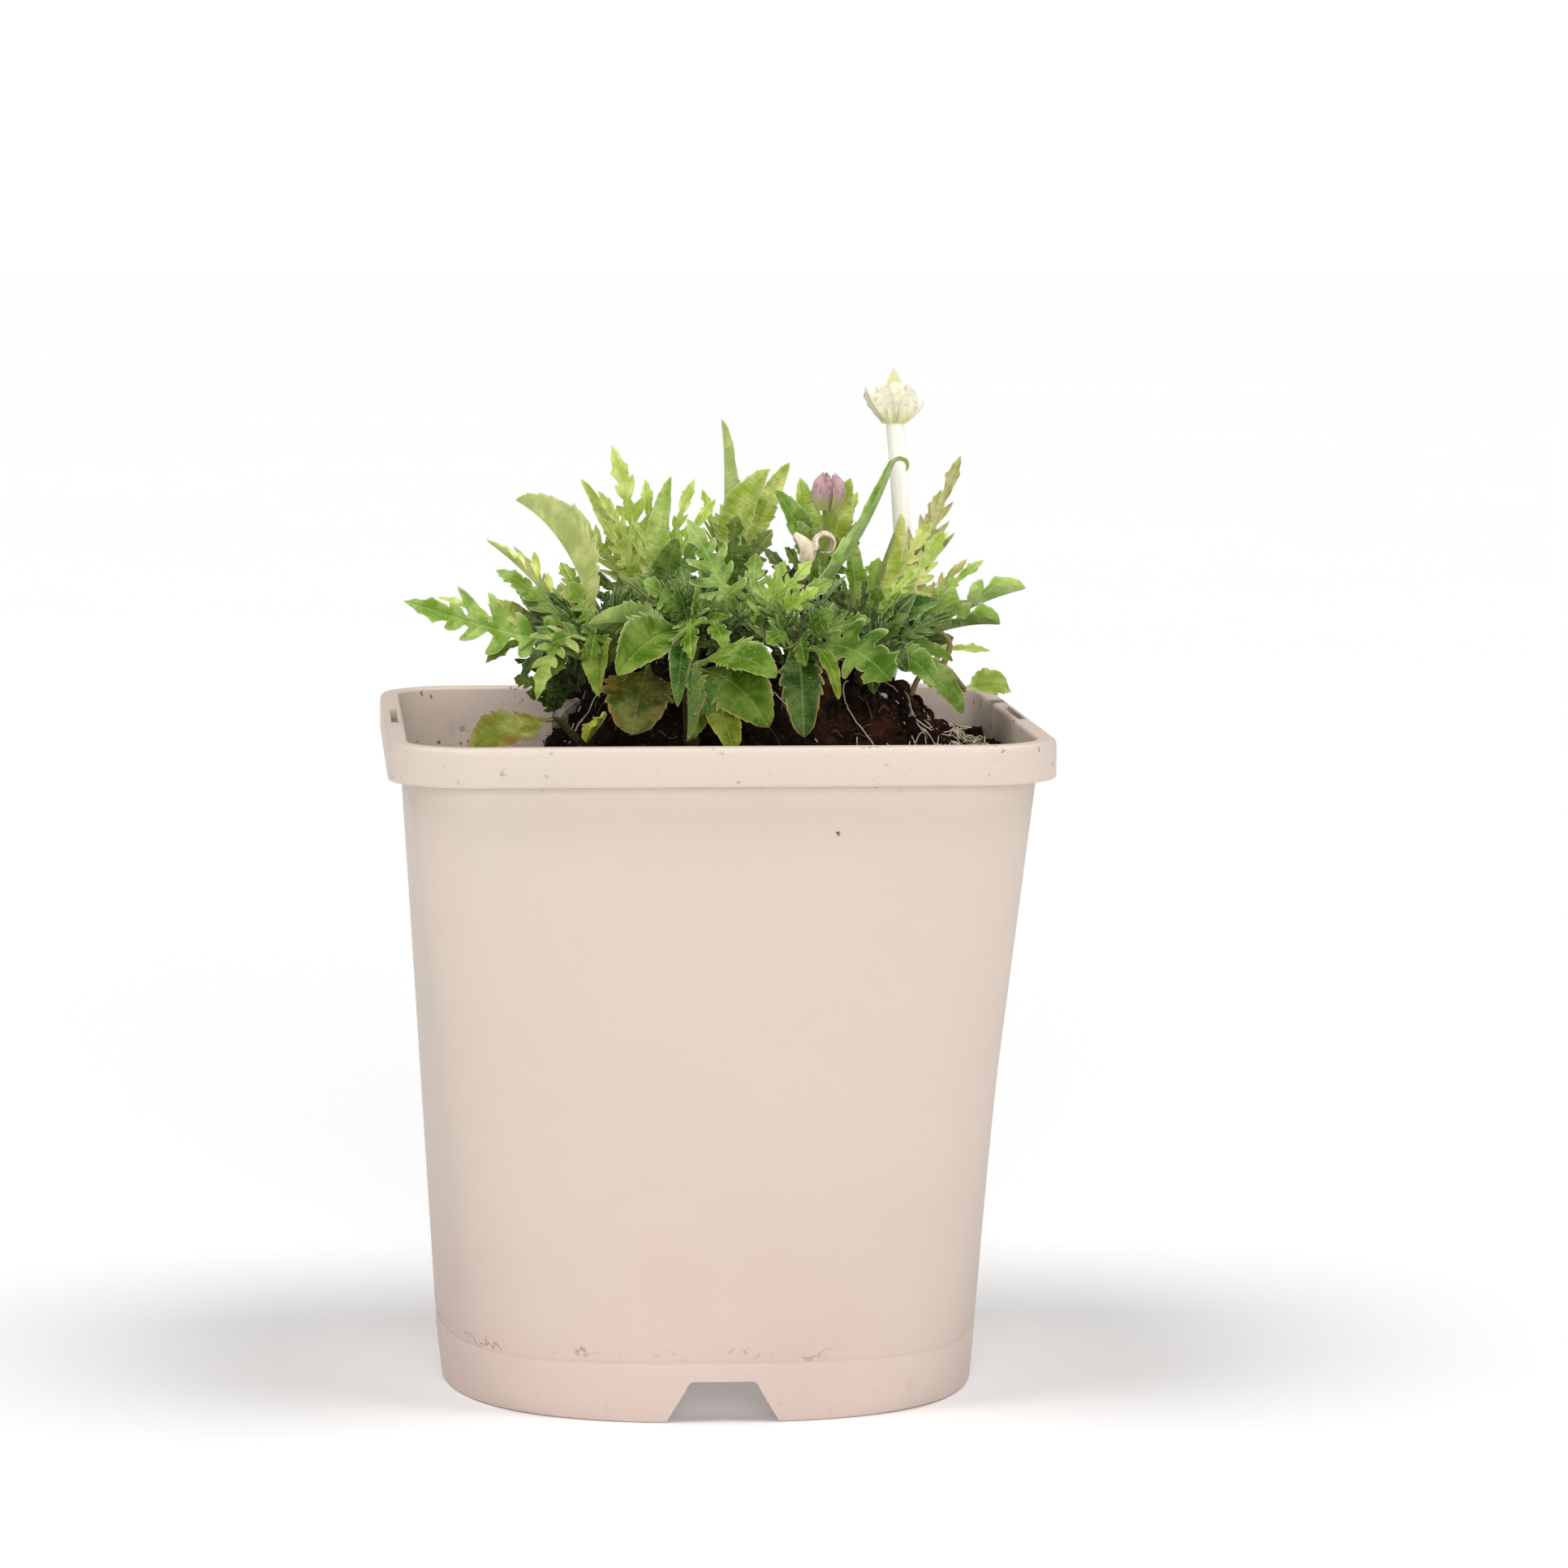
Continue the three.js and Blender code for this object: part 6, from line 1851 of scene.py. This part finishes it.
grown = {}
for number, (name, crown, foot, leaves) in enumerate(all_shoots, 1):
    shell = shoot_shell(number, name, crown, foot, leaves)
    if name == "shoot_bud":
        stalk = smooth_path([raised(p) for p in BUD_STALK], 5)
        shell.add(*tube(stalk, BUD_STALK_RADII, 14), slot=1)
    first_tone = leaves[0][1]
    finish = leaf_old if first_tone in ("brown", "yellow") else leaf_green
    grown[name] = shell.piece(name + "_leaves", [finish, petiole], crease=50)
    keep(grown[name], SLOT_OF[first_tone], name)

# %% [markdown]
# ## Hairs on the leaves
#
# Every part of the plant is softly hairy, which gives its edges a pale fuzz against the light. The hair
# recipe sets one thin spike on each point of an even scatter over the shoot.

# %% Brush the hairs
HAIR_DENSITY = 3e5
HAIR_LENGTH = 0.00065
HAIR_THICK = 0.000028
HAIR_LEAN = 0.7

for number, (name, piece) in enumerate(grown.items()):
    fuzz = hairs.grow(name + "_hairs", piece.data, Density=HAIR_DENSITY, Length=HAIR_LENGTH, Thick=HAIR_THICK,
                      Lean=HAIR_LEAN, Seed=100 + number, Material=plant_hair)
    keep(fuzz, piece["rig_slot"])

# %% [markdown]
# ## The flower stem and its bud
#
# One thick pale stem rises at the right and carries a closed head. The stem is a tube with shallow ribs.
# The head is a cup of pointed scales round a tuft of unopened florets. A rule could set the scales in even
# whorls, but the real ones stand unevenly, so one scale shape is set round the cup row by row from a short
# list.

# %% Raise the flower stem
FLOWER_STEM = [(38, 15, 0), (40.2, 14, 14), (41.5, 12.6, 30), (40.6, 11, 46), (39.4, 10, 59.2)]
FLOWER_STEM_RADII = [1.95 - 0.1 - 0.01 * i for i in range(6)]
STEM_INTO_HEAD = 1.2


def rooted(path):
    """A stem's path with its foot led down into its hole in the soil."""
    x, y = path[0][0], path[0][1]
    level = soil_height(x, y)
    return [(x, y, level - HOLE_DEPTH + GAP), (x, y, level + 1)] + [raised(p) for p in path[1:]]


flower_points = rooted(FLOWER_STEM)
flower_top = flower_points[-1]
stem_end = (flower_top[0], flower_top[1], flower_top[2] + STEM_INTO_HEAD)
flower_path = np.vstack([smooth_path(flower_points, 8), stem_end])
flower_shell = Shell()
flower_shell.add(*tube(flower_path, FLOWER_STEM_RADII, 28, ribs=9, rib_depth=0.025))
flower_stem = flower_shell.piece("flower_stem_ribbed", [flower_stalk])
keep(flower_stem, "stem_pale", "flower_stem")

# %% Shape one scale
SCALE_STEPS = 9
SCALE_ACROSS = 6
SCALE_THICK = 0.2


def bract(shell, root, middle, tip, broad, ragged, blunt, ripe):
    """A pointed scale that cups inwards, from its root over its middle to its tip."""
    root, middle, tip = (np.array(p, float) for p in (root, middle, tip))
    rings, places, unders = [], [], []
    for k in range(SCALE_STEPS + 1):
        t = k / SCALE_STEPS
        place = root * (1 - t) ** 2 + 2 * middle * t * (1 - t) + tip * t * t
        along = unit((middle - root) * (1 - t) + (tip - middle) * t)
        out = unit(np.array([middle[0] - root[0], middle[1] - root[1], 1e-6]))
        wide = unit(np.cross(out, along))
        deep = np.cross(along, wide)
        half = broad * (0.5 + 0.8 * t) * (1 - t ** blunt) * (1 + ragged * (1 if k % 2 else -1) * t) + 0.05
        ring = []
        for side in (1, -1):
            for m in range(SCALE_ACROSS):
                u = (m / (SCALE_ACROSS - 1) * 2 - 1) * side
                sag = half * 0.45 * u * u
                bulge = SCALE_THICK * (1 - abs(u) ** 3) * side * (1 - 0.6 * t)
                ring.append(tuple(place + wide * half * u + deep * (sag + bulge)))
                places.append((0.5, 1.0, abs(u)))
                unders.append(t * ripe)
        rings.append(ring)
    points, faces = lofted(rings, tuple(root), tuple(tip))
    ends = len(points) - len(places)
    shell.add(points, faces, 0, (1, 1, 1), places + [(0.5, 1.0, 0.0)] * ends, unders + [0.0] * ends)


def scale(shell, centre, shape, heading, out, rise, broad, blunt, ripe):
    """One scale of a head. Its tip stands out from the axis and rise above the centre."""
    low, drop, belly, ragged = shape
    x, y, z = centre
    c, s = math.cos(math.radians(heading)), math.sin(math.radians(heading))
    bulge = (low + out) / 2 + belly
    root = (x + low * c, y + low * s, z - drop)
    middle = (x + bulge * c, y + bulge * s, z + (rise - drop) / 2 - 0.5)
    bract(shell, root, middle, (x + out * c, y + out * s, z + rise), broad, ragged, blunt, ripe)


print("points of a scale:", 2 * SCALE_ACROSS * (SCALE_STEPS + 1))

# %% Mix the finish of the buds
def bud_finish(name, greened, foot, pale, deep, mark, marked):
    """Green at each scale's foot, then streaked between two tones, with marks near its edge."""
    finish = Finish(name, roughness=0.6, Subsurface_Weight=0.15, Subsurface_Scale=0.001,
                    Subsurface_Radius=(0.8, 1.0, 0.5), Sheen_Weight=0.15)
    up = finish.node("ShaderNodeAttribute", {"attribute_name": "under"}, output=2)
    place = finish.node("ShaderNodeAttribute", {"attribute_name": "leaf_place"}, output=1)
    to_edge = finish.split(place)[2]
    streak = finish.noise(0.9, 4.0, stretch=(1.0, 1.0, 0.3))
    base = finish.blend(streak.step(0.35, 0.7), pale, deep)
    base = finish.blend(up.step(greened, 0.1), base, foot)
    spots = finish.noise(1.1, 4.0, shift=6.0).step(0.5, 0.62)
    base = finish.blend((spots * up.step(0.2, 0.6)) * marked, base, mark)
    base = finish.blend(to_edge.step(0.75, 1.0) * up.step(0.3, 0.7) * spots * 0.6, base, mark)
    finish.colour(base)
    finish.roughness(0.55 + streak * 0.2)
    finish.bump(streak, 0.12)
    return finish.material


bud_pale = bud_finish("flower head", greened=0.5, foot=(218, 220, 162), pale=(248, 242, 224),
                      deep=(236, 230, 200), mark=(164, 152, 112), marked=0.2)
bud_purple = bud_finish("purple bud", greened=0.62, foot=(172, 176, 104), pale=(206, 168, 174),
                        deep=(184, 142, 152), mark=(136, 106, 96), marked=0.6)
print("bud finishes:", bud_pale.name, "and", bud_purple.name)

# %% Build the closed flower head
HEAD_ABOVE_STEM = 3.1
# Radius and height of the cup under the scales, in millimetres from the head's centre.
FLOWER_CUP = [(1.9, -3.6), (2.2, -2.4), (2.6, -1.4), (3.0, -0.4), (3.3, 0.6), (3.3, 1.6), (2.8, 2.4),
              (1.9, 3.0)]
# Heading, reach and rise of the tip, width, bluntness and ripeness of each scale.
FLOWER_SCALES = [
    (200, 6.6, 3.2, 1.9, 4.5, 1.0), (238, 4.3, 3.8, 2.3, 5.0, 1.0), (272, 3.6, 1.6, 2.2, 4.0, 1.0),
    (305, 4.6, 3.5, 2.3, 5.0, 1.0), (346, 6.0, 0.9, 1.9, 3.5, 0.9), (30, 5.0, 3.0, 2.1, 3.5, 1.0),
    (70, 4.0, 3.8, 2.2, 3.5, 1.0), (140, 4.6, 3.8, 2.2, 3.5, 1.0), (255, 2.4, 4.3, 2.2, 4.0, 1.0),
    (330, 2.6, 4.0, 2.2, 4.0, 1.0), (95, 0.9, 6.9, 1.5, 6.0, 0.15),
]
# Reach of the roots, how far they are below the centre, belly and raggedness of the scales.
FLOWER_SHAPE = (1.7, 4.1, 0.2, 0.16)
FLOWER_FLORETS = 18
FLORET_SPREAD = 0.72
FLORET_RADII = [0.35, 0.55, 0.75, 0.6, 0.2]


def cup_of(centre, profile, sides):
    x, y, z = centre
    angles = np.linspace(0, 2 * math.pi, sides + 1)[:-1]
    rings = [[(x + r * math.cos(a), y + r * math.sin(a), z + dz) for a in angles] for r, dz in profile]
    return lofted(rings, (x, y, z + profile[0][1]), (x, y, z + profile[-1][1] + 0.2))


def add_cup(shell, centre, profile, sides):
    """The body under the scales, greened from its foot as they are."""
    unders = [k / (len(profile) - 1) for k in range(len(profile)) for _ in range(sides)]
    shell.add(*cup_of(centre, profile, sides), unders=unders + [0.0, 1.0])


def add_florets(shell, centre):
    """Unopened florets in a tuft, set by the golden angle as in the real head."""
    x, y, z = centre
    for i in range(FLOWER_FLORETS):
        heading, out = math.radians(i * GOLDEN), FLORET_SPREAD * math.sqrt(i)
        c, s, rise = math.cos(heading), math.sin(heading), 3.6 - 0.3 * out + 0.9 * noise(3, i)
        path = [(x + out * 0.7 * c, y + out * 0.7 * s, z + 1), (x + out * c, y + out * s, z + rise - 0.8),
                (x + out * 1.08 * c, y + out * 1.08 * s, z + rise)]
        points, faces = tube(smooth_path(path, 3), FLORET_RADII, 8)
        shell.add(points, faces, unders=[1.0] * len(points))


def head(centre, cup, sides, shape, scales):
    """A cup with its scales."""
    shell = Shell()
    add_cup(shell, centre, cup, sides)
    for row in scales:
        scale(shell, centre, shape, *row)
    return shell


flower_centre = (flower_top[0], flower_top[1], flower_top[2] + GAP + HEAD_ABOVE_STEM)
flower_head = head(flower_centre, FLOWER_CUP, 24, FLOWER_SHAPE, FLOWER_SCALES)
add_florets(flower_head, flower_centre)
bud = flower_head.piece("flower_head", [bud_pale], crease=60)
keep(bud, "bud_pale", "flower_bud")

# %% [markdown]
# ## The small purple bud
#
# A rounder, smaller bud sits on a stalk in the middle of the leaves. It is built as the big head is, with
# shorter and rounder scales that close over the middle.

# %% Build the purple bud
PURPLE_BUD = (25.7, 9, 45)
PURPLE_CUP = [(1.3, -4.0), (1.6, -3.0), (2.0, -1.8), (2.2, -0.4), (2.1, 1.0), (1.4, 2.2)]
PURPLE_SCALES = [
    (236, 1.9, 3.6, 2.4, 3.2, 1.0), (314, 1.9, 3.4, 2.4, 3.2, 1.0), (92, 1.6, 3.4, 2.2, 3.0, 1.0),
    (180, 2.3, 1.6, 2.0, 3.0, 0.9), (0, 2.3, 1.4, 2.0, 3.0, 0.9),
    (40, 1.4, 2.9, 2.2, 3.0, 1.0), (140, 1.4, 2.9, 2.2, 3.0, 1.0),
]
PURPLE_SHAPE = (1.3, 4.2, 1.3, 0.08)

purple_head = head(raised(PURPLE_BUD), PURPLE_CUP, 20, PURPLE_SHAPE, PURPLE_SCALES)
small_bud = purple_head.piece("purple_head", [bud_purple], crease=60)
keep(small_bud, "bud_purple", "purple_bud")

# %% [markdown]
# ## The dry stub and the trailing shoot
#
# Between the leaves stands what is left of an old flower stem: a dry, beige, split stalk whose sheath has
# curled up. It is a rough tube with a few curled strips. The trailing shoot is a thin reddish stem with one
# small leaf that reaches over the right wall.

# %% Mix the finish of dry stalks
DARK_FOOT = (166.5, 162.0)


def dry_finish():
    """Beige and streaked, with brown spots, and with painted shade that darkens its foot among the leaves."""
    finish = Finish("dry stalk", roughness=0.8)
    streak = finish.noise(1.0, 5.0, stretch=(1.0, 1.0, 0.15))
    base = finish.blend(streak.step(0.35, 0.7), (232, 216, 192), (188, 162, 132))
    base = finish.blend(finish.noise(2.4, 3.0, shift=3.0).step(0.6, 0.72), base, (120, 92, 70))
    height = finish.split(finish.place())[2]
    # Painted shade: the stalk darkens below the tops of the leaves.
    base = finish.blend(height.step(*DARK_FOOT) * 0.85, base, (84, 70, 42))
    finish.colour(base)
    finish.bump(streak, 0.3)
    return finish.material


dry_stalk = dry_finish()
print("finish:", dry_stalk.name)

# %% Build the dry stub
DRY_STUB = [(15, -18, 0), (16, -19, 18), (17, -19.3, 27), (18.7, -20.3, 31.6), (19.2, -20.6, 35.4),
            (22.4, -20.6, 36.4)]
DRY_RADII = [1.0, 1, 1, 1, 2, 1.6, 1.7]
DRY_END_RADII = [1.2, 1.3, 1.3, 1.2, 1.0, 0.5]
DRY_STEPS = 25
DRY_ROUGHNESS = (0.86, 0.3)
DRY_BULB = [(18.4, -20.3, 31.7), (18.8, -20.4, 33.1), (19.0, -20.6, 34.8), (17.8, -20.6, 36.5),
            (16.3, -20.3, 37.9)]
DRY_BULB_RADII = [0.9, 1.5, 1.6, 1.1, 0.5]
STRIPS = 9
STRIP_ROOT = (19.2, -20.6, 33.8)
STRIP_RADII = [0.55, 0.4, 0.26, 0.36, 0.2, 0.1]


def curled_strip(i):
    """One strip of the torn sheath: from the stalk into an open ring."""
    x, y, z = raised(DRY_STUB[-1])
    reach = 1.75 + 0.9 * (noise(6, i) - 0.5)
    start, turn = 3.7 - 1.1 * noise(7, i), 3.2 + 2.4 * noise(8, i)
    ring = [(x - 0.1 + reach * math.cos(start - turn * k / 8), y - 1.4 + 0.36 * i,
             z - 0.4 + reach * math.sin(start - turn * k / 8)) for k in range(9)]
    return tube(smooth_path([raised(STRIP_ROOT)] + ring, 3), STRIP_RADII, 8)


dry_path = smooth_path(rooted(DRY_STUB), 6)
dry_radii = [r * vary(DRY_ROUGHNESS, 4, i) for i, r in enumerate(spread(DRY_RADII, len(dry_path)))]
dry_radii = dry_radii[:DRY_STEPS - len(DRY_END_RADII)] + DRY_END_RADII
dry_shell = Shell()
dry_shell.add(*tube(dry_path[:DRY_STEPS], dry_radii, 14))
dry_bulb = smooth_path([raised(p) for p in DRY_BULB], 6)
dry_shell.add(*tube(dry_bulb, DRY_BULB_RADII, 20, ribs=3, rib_depth=0.12))
for i in range(STRIPS):
    dry_shell.add(*curled_strip(i))
dry_stub = dry_shell.piece("dry_stub_curled", [dry_stalk], crease=60)
keep(dry_stub, "dry_stem", "dry_stub")

# %% Build the trailing shoot
TRAILING = [(42, -2, 0), (46, 1, 10), (50.5, 11, 8.2), (55.5, 20, 2.8)]
TRAILING_RADIUS = 0.6
TRAILING_TIP = (65.5, 26, 2.6)
TRAILING_SEED = 900
trailing_stalk = stalk_finish("trailing stem", (150, 150, 92), (150, 118, 88), (160, 104, 84))
trailing_path = smooth_path(rooted(TRAILING), 6)
trailing_shell = Shell()
trailing_shell.add(*tube(trailing_path, [TRAILING_RADIUS, TRAILING_RADIUS * 0.9], 10), slot=1)
x, y, z = raised(TRAILING[-1])
trailing_leaf = blade("oval", (x - 0.6, y - 1, z), raised(TRAILING_TIP), 7.5, 0.1, 40, 0.5, TRAILING_SEED)
add_leaf(trailing_shell, trailing_leaf, leaf_tone("light", TRAILING_SEED, 66, 10))
trailing = trailing_shell.piece("trailing_shoot_fine", [leaf_green, trailing_stalk], crease=50)
keep(trailing, "leaf_light", "trailing_shoot")

# %% [markdown]
# ## Small things between the leaves
#
# A few bare stalks show in the gaps: one pinkish petiole that bends over at the right and a dry one in
# front. At the left a grey lump of old root sticks out of the soil, and a curled yellow leaf lies before
# it.

# %% Add the bare stalks
BARE_STALKS = [
    ("bent_petiole", trailing_stalk,
     [(42.8, 4, 15.7), (44.9, 4, 16.3), (47.2, 4, 16.5), (49.2, 4, 15.5), (50.4, 4, 13.5), (49.6, 4, 10.7),
      (48.1, 4, 8)], [0.5, 0.5, 0.5, 0.6, 0.7]),
    ("dry_petiole", dry_stalk,
     [(14.9, -33, 20.6), (16.1, -34, 17.8), (16.7, -35.5, 15), (16.3, -37, 12.2), (15.7, -37.5, 9.7)],
     [0.45, 0.55, 0.4]),
]

for name, finish, path, radii in BARE_STALKS:
    shell = Shell()
    shell.add(*tube(smooth_path([raised(p) for p in path], 4), radii, 8))
    keep(shell.piece(name, [finish]), "dry_stem")

# %% Add the lump of old root and the curled leaf
ROOT_LUMP = [(-31, -13, -1.2), (-29.6, -13, 1.2), (-28, -13, 2.9), (-26.2, -12, 4)]
ROOT_LUMP_RADII = [0.7, 1.3, 0.9, 1.3, 0.7]
ROOT_LUMP_ROUGHNESS = (0.8, 0.4)
CURLED_LEAF_BASE = (-22.4, -43, 4.9)
CURLED_LEAF_TIP = (-26.6, -47.5, -0.6)
CURLED_LEAF_SEED = 77

lump_path = smooth_path([raised(p) for p in ROOT_LUMP], 5)
lump_radii = spread(ROOT_LUMP_RADII, len(lump_path))
lump_radii = [r * vary(ROOT_LUMP_ROUGHNESS, 12, i) for i, r in enumerate(lump_radii)]
shell = Shell()
shell.add(*tube(lump_path, lump_radii, 12, ribs=4, rib_depth=0.15))
keep(shell.piece("root_lump", [root_finish("old root", (142, 134, 122), (74, 62, 52))]), "soil")
curled_leaf = blade("oval", raised(CURLED_LEAF_BASE), raised(CURLED_LEAF_TIP), 4.5, -0.12, 70, 0.8,
                    CURLED_LEAF_SEED)
shell = Shell()
add_leaf(shell, curled_leaf, leaf_tone("yellow", CURLED_LEAF_SEED, CURLED_LEAF_TIP[0], 12))
keep(shell.piece("curled_leaf", [leaf_old]), "leaf_yellow")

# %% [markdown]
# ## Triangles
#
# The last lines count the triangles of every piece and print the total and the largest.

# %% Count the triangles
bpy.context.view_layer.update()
triangles = {}
for piece in made:
    piece.data.calc_loop_triangles()
    triangles[piece.name] = len(piece.data.loop_triangles)
print("triangles in all:", sum(triangles.values()), "largest:", max(triangles.items(), key=lambda kv: kv[1]))
